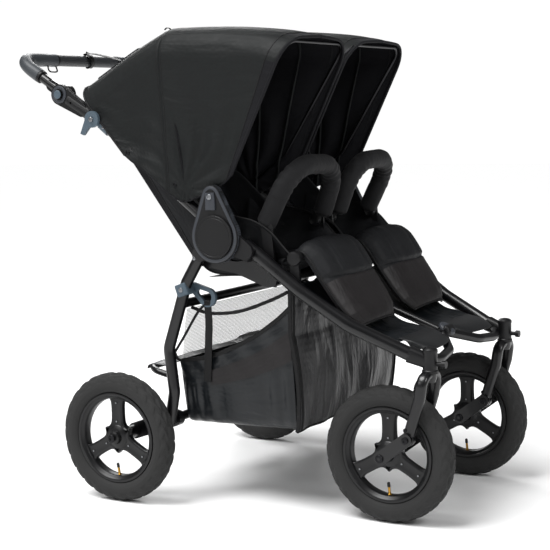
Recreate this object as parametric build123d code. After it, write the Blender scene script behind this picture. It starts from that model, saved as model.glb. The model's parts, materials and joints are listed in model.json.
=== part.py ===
"""Side-by-side double jogging stroller, built as separate pieces in one frame.

Millimetres. +Z is up, the stroller faces -Y, and +X is the rider's left. The origin is on the
ground under the middle of the whole object. A side is -1 (the rider's right) or +1 (the left).
"""

from build123d import *
import math
import os

# ---------------------------------------------------------------- driving dimensions
SIDES = {"right": -1, "left": 1}

WHEEL_R = 157.5            # 12.5 inch pneumatic tyre
TYRE_HALF = 26.0
RIM_R = 109.0
RIM_INNER_R = 94.5
RIM_HALF = 17.0
SPOKE_WIDE = 33.0
SPOKE_THICK = 16.0
WHEEL_HUB_R = 23.0
HUB_HALF = 25.0
AXLE_R = 6.0
RUN = 0.05                 # radial clearance of every pin in its bore

REAR_TRACK = 349.0         # rear wheel centre plane, from the middle
REAR_AXLE_Y = 247.0
FRONT_TRACK = 232.0
FRONT_AXLE_Y = -424.0
CASTER_Y = -525.0          # the swivel axis; the rest is trail

HUB_Y, HUB_Z = -37.0, 650.0            # the fold's pivot
PIN_R = 9.0
HOUSING_X = (322.5, 340.0)             # three layers of the hub, outside to inside
LEG_EAR_X = (303.5, 319.0)
UPRIGHT_EAR_X = (287.5, 302.5)
EAR_R = 40.0
TUBE_START = 74.0                      # tubes begin this far from the pivot

SIDE_TUBE_R = 16.0
UPRIGHT_R = 13.0
UPRIGHT_X = 302.0
LEG_R = 14.0
LEG_X = 305.0
WALL = 1.8

LEVER_Y, LEVER_Z = 307.0, 923.0
TILT_Y, TILT_Z = 416.0, 987.0          # the handlebar's pivot
MOUNT_AT = (TILT_Y - 36.0, TILT_Z - 21.2)   # accessory bore in each knuckle
MOUNT_R, MOUNT_DEEP = 3.0, 10.0
KNUCKLE_OUT = 319.5
BAR_Y, BAR_Z = 574.0, 1080.0           # the handlebar's crosspiece
BAR_X = 288.0
BAR_R = 12.0
GRIP_R = 17.5

CANOPY_Y, CANOPY_Z = 54.0, 757.0       # the canopy's pivot
CANOPY_OUT, CANOPY_IN = 321.0, 4.5
CLOTH = 2.5
BOW_R = 4.0
BOW_OUT, BOW_IN = 302.0, 12.0

BACK_Y, BACK_Z = 45.0, 588.0           # the seat back's pivot
BACK_LEAN = 54.0                       # degrees above the horizontal
BACK_LONG = 345.0
PAD_THICK = 28.0
SEAT_OUT, SEAT_IN = 272.0, 28.0

BUMPER_Y, BUMPER_Z = -140.0, 670.0
BUMPER_OUT, BUMPER_IN = 265.0, 40.0
BUMPER_R = 22.0

CALF_Y, CALF_Z = -208.0, 600.0
CALF_OUT = 252.0
ARM_Y, ARM_Z = -487.0, 205.0           # the front suspension arm's pivot
REAR_ARM_Y, REAR_ARM_Z = 130.0, 198.0  # the rear suspension arm's pivot, on the low cross tube


# ---------------------------------------------------------------- shared shapes
def tube(points, radius, bend=0.0, wall=0.0):
    """A round tube along straight runs joined by arcs."""
    path = Line(*points) if len(points) == 2 else FilletPolyline(*points, radius=bend)
    start = Plane(origin=path @ 0, z_dir=path % 0)
    section = Circle(radius) - Circle(radius - wall) if wall else Circle(radius)
    return sweep(start * section, path=path)


def x_rod(radius, x0, x1, y, z):
    """A round rod along X."""
    return Pos((x0 + x1) / 2, y, z) * Rot(0, 90, 0) * Cylinder(radius, abs(x1 - x0))


def z_rod(radius, x, y, z0, z1):
    """A round rod along Z."""
    return Pos(x, y, (z0 + z1) / 2) * Cylinder(radius, z1 - z0)


def slab(outline, x0, x1):
    """A flat plate whose outline is given as (y, z) corners, from x0 to x1."""
    face = make_face(Polyline(*outline, close=True))
    return extrude(Plane.YZ.offset(min(x0, x1)) * face, amount=abs(x1 - x0))


def link(a, ra, b, rb, x0, x1):
    """A flat link with round ends about (y, z) points a and b."""
    ends = (Pos(*a) * Circle(ra)).edges() + (Pos(*b) * Circle(rb)).edges()
    face = make_hull(ends)
    return extrude(Plane.YZ.offset(min(x0, x1)) * face, amount=abs(x1 - x0))


def polar(y, z, reach, degrees):
    """The (y, z) point that lies reach from (y, z); 0 degrees is forwards, 90 is up."""
    a = math.radians(degrees)
    return y - reach * math.cos(a), z + reach * math.sin(a)


def save(name, *solids):
    """Writes one node's solids to its STEP file."""
    shape = solids[0] if len(solids) == 1 else Compound(children=list(solids))
    export_step(shape, f"parts/{name}.step")


# ---------------------------------------------------------------- wheels
def tyre(x, y):
    """A closed ring with a rounded tread, seated on the rim."""
    with BuildSketch(Plane.XY) as section:
        with BuildLine():
            seat = Line((-RIM_HALF, RIM_R), (RIM_HALF, RIM_R))
            bulge = RIM_R + 25
            Spline(seat @ 1, (TYRE_HALF, bulge), (TYRE_HALF - 8, WHEEL_R - 5), (0, WHEEL_R),
                   (8 - TYRE_HALF, WHEEL_R - 5), (-TYRE_HALF, bulge), seat @ 0)
        make_face()
    ring = revolve(section.sketch, axis=Axis.X)
    return Pos(x, y, WHEEL_R) * ring


def rim(x, y):
    """Rim ring, three flat spokes and a bored hub, in one casting."""
    centre = (0, 0)
    ring = x_rod(RIM_R, -RIM_HALF, RIM_HALF, *centre) - x_rod(RIM_INNER_R, -30, 30, *centre)
    hub = x_rod(WHEEL_HUB_R, -HUB_HALF, HUB_HALF, *centre)
    reach = (RIM_INNER_R + RIM_R) / 2
    spoke = Pos(0, 0, reach / 2) * Box(SPOKE_THICK, SPOKE_WIDE, reach)
    for turn in (0, 120, 240):
        hub += Rot(turn, 0, 0) * spoke
    wheel = ring + hub - x_rod(AXLE_R + RUN, -40, 40, *centre)
    return Pos(x, y, WHEEL_R) * wheel


def wheels():
    """Four wheels, each a tyre and a rim."""
    for name, s in SIDES.items():
        for end, x, y in (("front", FRONT_TRACK, FRONT_AXLE_Y), ("rear", REAR_TRACK, REAR_AXLE_Y)):
            save(f"{end}_tyre_{name}", tyre(s * x, y))
            save(f"{end}_rim_{name}", rim(s * x, y))


# ---------------------------------------------------------------- front end
FORK_OFFSET = 39.0         # each fork leg from the wheel's middle plane
FORK_R = 9.5
STEERER_R = 9.0
HOUSING_R = 20.0
CASTER_LOW, CASTER_HIGH = 352.0, 404.0


def caster_housings():
    """Upright sleeves that the fork stems turn in, with a closed top."""
    found = []
    for s in SIDES.values():
        x = s * FRONT_TRACK
        body = z_rod(HOUSING_R, x, CASTER_Y, CASTER_LOW, CASTER_HIGH)
        body += Pos(x, CASTER_Y + 24, 376) * Box(34, 34, 44)
        body -= z_rod(STEERER_R + RUN, x, CASTER_Y, CASTER_LOW - 5, CASTER_HIGH - 8)
        body -= Pos(x, CASTER_Y - 14, 371) * Rot(90, 0, 0) * Cylinder(5.5, 24)
        found.append(body)
    return found


def swivel_knob(s):
    """The pull knob that locks a front wheel straight."""
    x = s * FRONT_TRACK
    pin = Pos(x, CASTER_Y - 20.3, 371) * Rot(90, 0, 0) * Cylinder(5.0, 21)
    grip = Pos(x, CASTER_Y - 34, 371) * Rot(90, 0, 0) * Cylinder(8.5, 9)
    return pin + grip


def fork(s):
    """Stem, crown, two bent legs and the block that each suspension arm hangs from."""
    x = s * FRONT_TRACK
    crown = CASTER_LOW - 1 - 8
    body = z_rod(STEERER_R, x, CASTER_Y, crown, CASTER_HIGH - 10)
    body += Pos(x, CASTER_Y, crown) * Box(2 * FORK_OFFSET - 26, 30, 14)
    for side in (-1, 1):
        leg = tube([(x + side * 20, CASTER_Y, crown), (x + side * FORK_OFFSET, CASTER_Y + 8, crown - 42),
                    (x + side * FORK_OFFSET, ARM_Y, ARM_Z + 14)], FORK_R, bend=24)
        near, far = x + side * (FORK_OFFSET - 8), x + side * (FORK_OFFSET + 8)
        block = slab([(ARM_Y - 15, ARM_Z + 30), (ARM_Y + 14, ARM_Z + 30), (ARM_Y + 16, ARM_Z - 14),
                      (ARM_Y - 13, ARM_Z - 14)], near, far)
        body += leg + block
    return body - x_rod(5 + RUN, x - 60, x + 60, ARM_Y, ARM_Z)


def front_arm(s):
    """Two suspension links with a pivot pin each and the wheel's axle between them."""
    x = s * FRONT_TRACK
    gap, outer = FORK_OFFSET + 10.5, FORK_OFFSET + 17
    body = x_rod(AXLE_R, x - outer - 4, x + outer + 4, FRONT_AXLE_Y, WHEEL_R)
    for side in (-1, 1):
        body += x_rod(5, x + side * 30, x + side * outer, ARM_Y, ARM_Z)
        body += link((ARM_Y, ARM_Z), 15, (FRONT_AXLE_Y, WHEEL_R), 15, x + side * gap, x + side * outer)
        body += x_rod(10, x + side * (HUB_HALF + 2), x + side * gap, FRONT_AXLE_Y, WHEEL_R)
    return body


# ---------------------------------------------------------------- chassis
SIDE_RUN = [(302, -97, 631), (296, -237, 527), (275, -347, 453), (240, -481, 390)]


def mirrored(points, s):
    return [(s * x, y, z) for x, y, z in points]


def side_tubes(wall=WALL):
    """The long tubes from the fold hubs down to the casters; no wall gives them solid."""
    return [tube(mirrored(SIDE_RUN, s), SIDE_TUBE_R, bend=150, wall=wall) for s in SIDES.values()]


def front_tube():
    """The cross tube under the toes: two forward bows that meet at the middle joint."""
    run = [(209, -505, 378), (165, -522, 372), (90, -512, 378), (14, -462, 402)]
    return [tube(mirrored(run, s), 11, bend=45) for s in SIDES.values()]


def middle_joint():
    """The moulded clamp where the two bows and the middle tube meet."""
    lump = fillet((Pos(0, -460, 404) * Rot(-25, 0, 0) * Box(44, 46, 26)).edges(), 9)
    for bow in front_tube():
        lump -= bow
    return lump - middle_tube(0)


def middle_tube(wall=WALL):
    """The keel between the two seats."""
    keel = tube([(0, -158, 538), (0, -330, 452), (0, -446, 409)], 9, bend=90, wall=wall)
    return keel - x_rod(11, -20, 20, -150, 545)


def seat_frame():
    """Cross tube under the seats with the plates that hang it from the side tubes."""
    body = x_rod(11, -284, 284, -150, 545)
    for s in SIDES.values():
        body += slab([(-172, 566), (-128, 598), (-60, 588), (45, 600), (57, 588), (45, 576), (-60, 560),
                      (-136, 532), (-164, 532)], s * 277, s * 284)
    return body


def hub_housings():
    """Teardrop covers in the outer layer, with the fold's pin and a socket for the side tube."""
    found = []
    for s in SIDES.values():
        inner, outer = s * HOUSING_X[0], s * HOUSING_X[1]
        body = link((HUB_Y, HUB_Z), 62, (-30, 745), 24, inner, outer)
        neck = link((HUB_Y - 30, HUB_Z - 10), 30, (-112, 618), 20, inner, s * 332)
        wrap = slab([(-93, 640), (-132, 620), (-112, 592), (-84, 606)], s * 285.5, s * 323)
        pin = x_rod(PIN_R, s * 284, s * 323, HUB_Y, HUB_Z)
        body += neck + wrap + pin
        found.append(body)
    found = [body - solid for body, solid in zip(found, side_tubes(0))]
    return found


def hub_covers():
    """Round badges pressed on the housings, left plain."""
    return [x_rod(50, s * HOUSING_X[1], s * (HOUSING_X[1] + 5), HUB_Y, HUB_Z) for s in SIDES.values()]


def seat_base(s):
    """The sling seat's bottom pad."""
    outline = [(-200, 606), (6, 572), (6, 546), (-200, 578)]
    pad = slab(outline, s * SEAT_IN, s * SEAT_OUT)
    return fillet(pad.edges().filter_by(Axis.X), 9)


def foot_panel(s):
    """The sheet from the seat's front edge to the toe rest, narrowing with the frame."""
    top = [(-222, 538), (-350, 434), (-436, 422)]
    low = [(y, z - 5) for y, z in reversed(top)]
    plan = [(24, -210), (256, -210), (248, -347), (222, -440), (24, -440)]
    prism = extrude(make_face(Polyline(*[(s * x, y) for x, y in plan], close=True)), amount=600, both=True)
    return slab(top + low, s * 14, s * 262) & prism


def calf_pad_outline():
    """(y, z) corners of the calf pad, from the hinge down along its slope."""
    y0, z0 = CALF_Y - 6, CALF_Z + 14
    y1, z1 = -352, 462
    return [(y0, z0), (y0 - 16, z0 + 8), (y0 - 36, z0 + 2), (y1 - 10, z1 + 6), (y1, z1 - 10), (y1 + 22, z1 - 4)]


def calf_rest(s):
    """The padded calf flap with its hinge barrel."""
    pad = slab(calf_pad_outline(), s * (SEAT_IN + 2), s * CALF_OUT)
    barrel = x_rod(9, s * SEAT_IN, s * (SEAT_OUT + 1), CALF_Y - 8, CALF_Z)
    body = pad + barrel
    return body - x_rod(4 + RUN, s * 10, s * 300, CALF_Y - 8, CALF_Z)


def calf_hinges():
    """The hinge pins and round side knobs that hold the calf rests to the frame."""
    found = []
    for s, side_tube in zip(SIDES.values(), side_tubes(0)):
        rod = x_rod(4, s * 14, s * 284, CALF_Y - 8, CALF_Z)
        knob = x_rod(17, s * 274, s * 285, CALF_Y - 8, CALF_Z)
        arm = slab([(-226, 598), (-206, 598), (-202, 545), (-230, 545)], s * 278, s * 286)
        found.append(rod + knob + arm - side_tube)
    return found


def bumper_sockets():
    """The four sockets that the bumper bars turn on."""
    found, frame = [], seat_frame()
    for s in SIDES.values():
        for x, away, gap in ((BUMPER_OUT, 1, 9), (BUMPER_IN, -1, 13)):
            face = x + away * gap
            foot = 584 if away > 0 else 548
            stem = slab([(-126, 678), (-154, 678), (-162, foot), (-136, foot)], s * face, s * (face + away * 7))
            pin = x_rod(5, s * (x - away * 8), s * (face + away * 7), BUMPER_Y, BUMPER_Z)
            found.append(stem + pin - frame)
    return found


BASKET_LOW, BASKET_HIGH = 192.0, 345.0


def basket():
    """Open-topped cloth tub under the seats, with a high mesh back and a high front."""
    def block(inset, low):
        base = Plane.XY.offset(low) * Pos(0, -48) * Rectangle(2 * (232 - inset), 2 * (142 - inset))
        rim_face = Plane.XY.offset(BASKET_HIGH + (inset > 0)) * Pos(0, -48) * Rectangle(
            2 * (272 - inset), 2 * (152 - inset))
        return loft([base, rim_face])

    tub = block(0, BASKET_LOW) - block(3, BASKET_LOW + 3)
    tub += Pos(0, 102.5, 408) * Box(540, 3, 132)
    tub += Pos(0, -198.5, 436) * Box(540, 3, 186)
    tub -= Pos(0, -198.5, 520) * Box(30, 10, 50)
    for s in SIDES.values():
        tub += slab([(-200, 343), (60, 343), (-100, 410), (-200, 500)], s * 268.5, s * 271.5)
    return tub


# ---------------------------------------------------------------- rear legs
def rear_legs():
    """The two legs, each with the ear that turns in the hub."""
    found = []
    for s in SIDES.values():
        inner, outer = s * LEG_EAR_X[0], s * LEG_EAR_X[1]
        start = polar(HUB_Y, HUB_Z, TUBE_START, 217)
        ear = link((HUB_Y, HUB_Z), EAR_R, start, 17, inner, outer)
        run = [(s * LEG_X, *start), (s * LEG_X, 66, 536), (s * LEG_X, 122, 376), (s * LEG_X, 110, 270),
               (s * (LEG_X - 6), REAR_ARM_Y, REAR_ARM_Z - 6)]
        leg = ear + tube(run, LEG_R, bend=44)
        found.append(leg - x_rod(PIN_R + RUN, s * 280, s * 330, HUB_Y, HUB_Z))
    return found


def rear_cross_tubes():
    """The upper cross tube under the seats and the low one that carries the suspension."""
    upper = x_rod(11, -LEG_X, LEG_X, 84, 484)
    low = x_rod(11, 6 - LEG_X, LEG_X - 6, REAR_ARM_Y, REAR_ARM_Z)
    for leg in rear_legs():
        upper, low = upper - leg, low - leg
    return [upper, low]


def basket_rear_bar():
    """The U-shaped bar that holds the basket's rear lip open behind the legs."""
    run = [(-282.5, 118, 300), (-280, 204, 318), (280, 204, 318), (282.5, 118, 300)]
    return tube(run, 8, bend=38)


def leg_brackets():
    """The moulded clips round the legs that carry the folding latch."""
    found = []
    for s, leg in zip(SIDES.values(), rear_legs()):
        clip = fillet((Pos(s * LEG_X, 72, 520) * Rot(-19, 0, 0) * Box(34, 32, 30)).edges(), 4)
        found.append(clip - leg)
    found[0] += x_rod(4, -289, -274, LATCH_Y, LATCH_Z) - rear_legs()[0]
    return found


LATCH_Y, LATCH_Z = 62.0, 524.0


def fold_latch():
    """The ring-shaped hook that catches the folded frame."""
    x0, x1 = -286, -277
    ring = link((LATCH_Y, LATCH_Z), 11, (22, 500), 23, x0, x1)
    hole = link((LATCH_Y - 20, LATCH_Z - 12), 7, (23, 501), 13, x0, x1)
    return ring - hole - x_rod(4 + RUN, -300, -270, LATCH_Y, LATCH_Z)


def rear_arm(s):
    """Trailing link, its sleeve on the low cross tube, and the stub axle of a rear wheel."""
    inner, outer = s * 262, s * 284
    body = link((REAR_ARM_Y, REAR_ARM_Z), 19, (REAR_AXLE_Y, WHEEL_R), 20, inner, outer)
    body += x_rod(16, outer, s * (REAR_TRACK - HUB_HALF - 2), REAR_AXLE_Y, WHEEL_R)
    body += x_rod(AXLE_R, outer, s * (REAR_TRACK + HUB_HALF + 6), REAR_AXLE_Y, WHEEL_R)
    return body - x_rod(11 + RUN, s * 250, s * 300, REAR_ARM_Y, REAR_ARM_Z)


def brake_pedal():
    """The foot bar of the parking brake, on its two arms round the low cross tube."""
    body = Pos(0, 196, 212) * Box(120, 34, 9)
    for s in SIDES.values():
        body += link((REAR_ARM_Y, REAR_ARM_Z), 17, (190, 210), 8, s * 40, s * 54)
    return body - x_rod(11 + RUN, -70, 70, REAR_ARM_Y, REAR_ARM_Z)


# ---------------------------------------------------------------- upright and handlebar
def upright_line(reach):
    """The (y, z) point on the upright that lies reach from the fold's pivot."""
    lean = math.degrees(math.atan2(LEVER_Z - HUB_Z, LEVER_Y - HUB_Y))
    return polar(HUB_Y, HUB_Z, reach, 180 - lean)


def uprights():
    """The push tubes from the hubs to the knuckles, with their ears and canopy bosses."""
    found = []
    for s in SIDES.values():
        inner, outer = s * UPRIGHT_EAR_X[0], s * UPRIGHT_EAR_X[1]
        start = upright_line(TUBE_START)
        ear = link((HUB_Y, HUB_Z), EAR_R, start, 15, inner, outer)
        run = [(s * UPRIGHT_X, *start), (s * UPRIGHT_X, LEVER_Y, LEVER_Z), (s * UPRIGHT_X, TILT_Y - 52, TILT_Z - 30.5)]
        boss = link(upright_line(128), 14, (CANOPY_Y, CANOPY_Z), 9, s * 292, s * 297)
        body = ear + tube(run, UPRIGHT_R, bend=120) + boss
        found.append(body - x_rod(PIN_R + RUN, s * 280, s * 330, HUB_Y, HUB_Z))
    return found


def back_bar():
    """Cross bar behind the seats with the stay that carries the canopies' inner pivots."""
    y, z = upright_line(440)
    body = x_rod(8, -UPRIGHT_X, UPRIGHT_X, y, z)
    for tube_solid in uprights():
        body -= tube_solid
    body += tube([(0, y, z), (0, 240, 828), (0, 74, 716)], 6.5, bend=60)
    return body + link((76, 718), 8, (CANOPY_Y, CANOPY_Z), 9, -3.5, 3.5)


def handle_knuckles():
    """The round housings at the top of the uprights, each with an eye and an accessory bore."""
    found = []
    for s, upright in zip(SIDES.values(), uprights()):
        eye = link((TILT_Y, TILT_Z), 25, (TILT_Y - 66, TILT_Z - 40), 16, s * 302.5, s * 316)
        sleeve = tube([(s * UPRIGHT_X, TILT_Y - 22, TILT_Z - 13), (s * UPRIGHT_X, TILT_Y - 84, TILT_Z - 49.3)], 17.5)
        body = eye + sleeve - upright
        body -= x_rod(28, s * 280, s * 302.5, TILT_Y, TILT_Z)
        body -= x_rod(MOUNT_R, s * (KNUCKLE_OUT - MOUNT_DEEP), s * 330, *MOUNT_AT)
        found.append(body - x_rod(8 + RUN, s * 280, s * 330, TILT_Y, TILT_Z))
    return found


def fold_lever(s):
    """The moulded fold trigger outside the upright, with its finger tab."""
    y, z = LEVER_Y + 4, LEVER_Z + 2
    body = x_rod(20, s * 322, s * 330, y, z)
    body += slab([(y + 4, z - 16), (y + 20, z - 2), (y + 34, z - 34), (y + 24, z - 38)], s * 322, s * 330)
    return body - x_rod(4 + RUN, s * 300, s * 340, y, z)


def lever_mounts():
    """Clamps round the uprights with the pins that the fold triggers turn on."""
    found = []
    y, z = LEVER_Y + 4, LEVER_Z + 2
    for s, upright in zip(SIDES.values(), uprights()):
        a, b = upright_line(398), upright_line(428)
        clamp = tube([(s * UPRIGHT_X, *a), (s * UPRIGHT_X, *b)], 16)
        pin = x_rod(7.5, s * 303, s * 321.5, y, z) + x_rod(4, s * 303, s * 332, y, z)
        found.append(clamp + pin - upright)
    return found


def handlebar():
    """The U-shaped bar with the two eyes that tilt on the knuckles."""
    reach = [(BAR_X, TILT_Y + 20, TILT_Z + 11), (BAR_X - 8, BAR_Y, BAR_Z)]
    run = mirrored(reach, -1) + mirrored(reach[::-1], 1)
    body = tube(run, BAR_R, bend=62)
    for s in SIDES.values():
        eye = x_rod(24, s * 280, s * 301.5, TILT_Y, TILT_Z)
        eye += link((TILT_Y, TILT_Z), 16, (TILT_Y + 42, TILT_Z + 24), 14, s * 280, s * 296)
        body += eye + x_rod(8, s * 300, s * 308, TILT_Y, TILT_Z)
        body -= x_rod(5 + RUN, s * 290, s * 320, TILT_Y, TILT_Z)
    return body


def tilt_button(s):
    """The round button that frees the handlebar's tilt."""
    return x_rod(5, s * 294, s * 320, TILT_Y, TILT_Z) + x_rod(11, s * 319.5, s * 323.5, TILT_Y, TILT_Z)


def hand_grips():
    """Foam grips round both corners of the handlebar, as sleeves."""
    part = 0.42
    foot = (BAR_X - 8 * part, TILT_Y + 20 + (BAR_Y - TILT_Y - 20) * part, TILT_Z + 11 + (BAR_Z - TILT_Z - 11) * part)
    corner = [foot, (BAR_X - 8, BAR_Y, BAR_Z), (130, BAR_Y, BAR_Z)]
    return [tube(mirrored(corner, s), GRIP_R, bend=62, wall=GRIP_R - BAR_R - 0.05) for s in SIDES.values()]


def bar_wrap():
    """The perforated sleeve in the middle of the handlebar."""
    whole = x_rod(14.5, -128, 128, BAR_Y, BAR_Z)
    return whole - x_rod(BAR_R + 0.05, -130, 130, BAR_Y, BAR_Z)


# ---------------------------------------------------------------- canopies
def canopy_profile():
    """(y, z) corners of a canopy's side: hem, rear edge, crown and front edge."""
    return [(-84, 792), (-30, 772), (66, 726), (222, 838), (364, 1004), (246, 1078),
            (116, 1130), (20, 1136), (-120, 1122), (-226, 1098)]


def canopy_cut():
    """(y, z) corners of the space under the canopy, open at the front edge and the hem."""
    return [(-150, 700), (90, 690), (225, 836), (360, 1002), (245, 1075), (115.4, 1127),
            (20, 1133), (-120, 1119), (-223, 1095.5), (-260, 1088), (-260, 900)]


def rounded_crown(solid, radius):
    """Rounds the long edges where the crown turns down into the sides."""
    edges = [e for e in solid.edges() if e.center().Z > 1030 and abs(e.tangent_at(0.5).X) < 0.1]
    return fillet(edges, radius)


def canopy(s):
    """Curved cloth shell, open in front and below, over one seat."""
    outer = rounded_crown(slab(canopy_profile(), s * CANOPY_IN, s * CANOPY_OUT), 30)
    space = rounded_crown(slab(canopy_cut(), s * (CANOPY_IN + CLOTH), s * (CANOPY_OUT - CLOTH)), 27.5)
    grommet = x_rod(13, 0, s * 12, CANOPY_Y, CANOPY_Z)
    return outer - space - grommet


def canopy_hinges():
    """The outer and inner hinge discs of both canopies, with the side stay in the middle seam."""
    tip = polar(CANOPY_Y, CANOPY_Z, 330, 98.8)
    found = []
    for s in SIDES.values():
        outer = x_rod(9, s * 307, s * 313, CANOPY_Y, CANOPY_Z) + x_rod(3, s * 297.5, s * 307, CANOPY_Y, CANOPY_Z)
        outer += tube([(s * 312, CANOPY_Y, CANOPY_Z), (s * 312, *tip)], 4)
        inner = x_rod(6, s * 4, s * 7, CANOPY_Y, CANOPY_Z) + x_rod(3, s * 7, s * 17, CANOPY_Y, CANOPY_Z)
        found += [outer, inner]
    return found


def canopy_bow(s):
    """The sprung hoop in the canopy's front hem, with an eye at each end."""
    knee = polar(CANOPY_Y, CANOPY_Z, 120, 35)
    top = (-216, 1090)
    run = [(s * BOW_OUT, CANOPY_Y, CANOPY_Z), (s * BOW_OUT, *knee), (s * BOW_OUT, *top),
           (s * BOW_IN, *top), (s * BOW_IN, *knee), (s * BOW_IN, CANOPY_Y, CANOPY_Z)]
    body = tube(run, BOW_R, bend=44)
    body += x_rod(8, s * 298, s * 306, CANOPY_Y, CANOPY_Z) + x_rod(8, s * 8.5, s * 15.5, CANOPY_Y, CANOPY_Z)
    return body - x_rod(3 + RUN, s * 0, s * 320, CANOPY_Y, CANOPY_Z)


# ---------------------------------------------------------------- seats and bumper bars
def recline_rods():
    """The rods that the seat backs turn on, each with a flat stay at both edges of the back."""
    a = math.radians(BACK_LEAN)
    tip = (BACK_Y + 320 * math.cos(a), BACK_Z + 320 * math.sin(a))
    found = []
    for s in SIDES.values():
        body = x_rod(6, s * 12, s * 276.5, BACK_Y, BACK_Z)
        for x0, x1 in ((28.5, 33.5), (267, 272.5)):
            body += link((BACK_Y, BACK_Z), 14, tip, 17, s * x0, s * x1)
        found.append(body)
    return found


def seat_back(s):
    """The padded back, with a sleeve round its rod."""
    pad = Pos(0, 0, 24 + (BACK_LONG - 24) / 2) * Box(SEAT_OUT - SEAT_IN - 14, PAD_THICK, BACK_LONG - 24)
    pad = fillet(pad.edges().filter_by(Axis.Y), 26)
    sleeve = Rot(0, 90, 0) * Cylinder(11, 200)
    web = Pos(0, 0, 15) * Box(200, 10, 24)
    body = pad + sleeve + web - Rot(0, 90, 0) * Cylinder(6 + RUN, 260)
    middle = s * (SEAT_OUT + SEAT_IN) / 2
    return Pos(middle, BACK_Y, BACK_Z) * Rot(BACK_LEAN - 90, 0, 0) * body


def bumper_bar(s):
    """The padded hoop in front of the rider."""
    rise = 0.24
    foot = (BUMPER_Y - 60 * rise, BUMPER_Z + 120 * rise)
    run = [(s * BUMPER_OUT, *foot), (s * BUMPER_OUT, -200, 790), (s * BUMPER_IN, -200, 790), (s * BUMPER_IN, *foot)]
    body = tube(run, BUMPER_R, bend=58)
    for x in (BUMPER_OUT, BUMPER_IN):
        body += tube([(s * x, BUMPER_Y, BUMPER_Z), (s * x, foot[0] - 3, foot[1] + 6)], 7.5)
        body += x_rod(13, s * (x - 8), s * (x + 8), BUMPER_Y, BUMPER_Z)
    return body - x_rod(5 + RUN, s * 15, s * 290, BUMPER_Y, BUMPER_Z)


# ---------------------------------------------------------------- all nodes
def main():
    """Writes every node."""
    os.makedirs("parts", exist_ok=True)
    wheels()
    save("caster_housings", *caster_housings())
    save("side_tubes", *side_tubes())
    save("front_tube", *front_tube())
    save("middle_joint", middle_joint())
    save("middle_tube", middle_tube())
    save("seat_frame", seat_frame())
    save("hub_housings", *hub_housings())
    save("hub_covers", *hub_covers())
    save("calf_hinges", *calf_hinges())
    save("bumper_sockets", *bumper_sockets())
    save("basket", basket())
    save("rear_legs", *rear_legs())
    save("rear_cross_tubes", *rear_cross_tubes())
    save("basket_rear_bar", basket_rear_bar())
    save("leg_brackets", *leg_brackets())
    save("fold_latch", fold_latch())
    save("brake_pedal", brake_pedal())
    save("uprights", *uprights())
    save("back_bar", back_bar())
    save("recline_rods", *recline_rods())
    save("canopy_hinges", *canopy_hinges())
    save("handle_knuckles", *handle_knuckles())
    save("lever_mounts", *lever_mounts())
    save("handlebar", handlebar())
    save("hand_grips", *hand_grips())
    save("bar_wrap", bar_wrap())
    for name, s in SIDES.items():
        save(f"seat_base_{name}", seat_base(s))
        save(f"foot_panel_{name}", foot_panel(s))
        save(f"calf_rest_{name}", calf_rest(s))
        save(f"seat_back_{name}", seat_back(s))
        save(f"bumper_bar_{name}", bumper_bar(s))
        save(f"canopy_{name}", canopy(s))
        save(f"canopy_bow_{name}", canopy_bow(s))
        save(f"fork_{name}", fork(s))
        save(f"front_arm_{name}", front_arm(s))
        save(f"rear_arm_{name}", rear_arm(s))
        save(f"swivel_knob_{name}", swivel_knob(s))
        save(f"fold_lever_{name}", fold_lever(s))
        save(f"tilt_button_{name}", tilt_button(s))


main()
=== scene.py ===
"""Double jogging stroller: what the eye sees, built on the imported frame.

Millimetres are used for every size and turned to metres when a mesh is made. +Z is up, the
stroller faces -Y, and the rider's right is -X.
"""

import json
import logging
import math
from dataclasses import dataclass, field
from enum import Enum

import bmesh
import bpy
import numpy as np
from mathutils import Matrix, Vector
from numpy.typing import NDArray

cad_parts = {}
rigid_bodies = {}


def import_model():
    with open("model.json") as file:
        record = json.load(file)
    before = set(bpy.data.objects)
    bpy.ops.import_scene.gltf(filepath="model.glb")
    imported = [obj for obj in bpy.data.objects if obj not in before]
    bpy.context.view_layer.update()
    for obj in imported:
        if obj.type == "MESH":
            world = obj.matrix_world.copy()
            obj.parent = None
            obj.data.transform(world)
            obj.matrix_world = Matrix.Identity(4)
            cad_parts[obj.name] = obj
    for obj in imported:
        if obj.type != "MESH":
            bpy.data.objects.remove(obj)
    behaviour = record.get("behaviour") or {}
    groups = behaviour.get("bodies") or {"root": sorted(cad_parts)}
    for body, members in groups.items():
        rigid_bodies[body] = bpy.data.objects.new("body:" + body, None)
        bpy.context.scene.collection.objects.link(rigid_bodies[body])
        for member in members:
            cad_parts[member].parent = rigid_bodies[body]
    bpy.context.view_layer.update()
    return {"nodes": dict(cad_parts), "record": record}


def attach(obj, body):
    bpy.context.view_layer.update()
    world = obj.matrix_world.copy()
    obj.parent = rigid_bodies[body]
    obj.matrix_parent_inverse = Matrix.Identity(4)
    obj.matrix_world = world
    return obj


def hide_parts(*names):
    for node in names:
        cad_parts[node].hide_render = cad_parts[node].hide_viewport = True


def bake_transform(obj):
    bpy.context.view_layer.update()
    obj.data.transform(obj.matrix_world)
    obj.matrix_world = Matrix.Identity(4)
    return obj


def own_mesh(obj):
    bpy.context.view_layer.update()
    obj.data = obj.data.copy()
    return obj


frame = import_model()

Array = NDArray[np.float64]
log = logging.getLogger("stroller")


class Side(Enum):
    """A side of the stroller, by the sign of its X."""

    RIGHT = -1
    LEFT = 1

    @property
    def word(self) -> str:
        """The side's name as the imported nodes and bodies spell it."""
        return self.name.lower()


# ------------------------------------------------------------------------------ finishes


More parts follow.
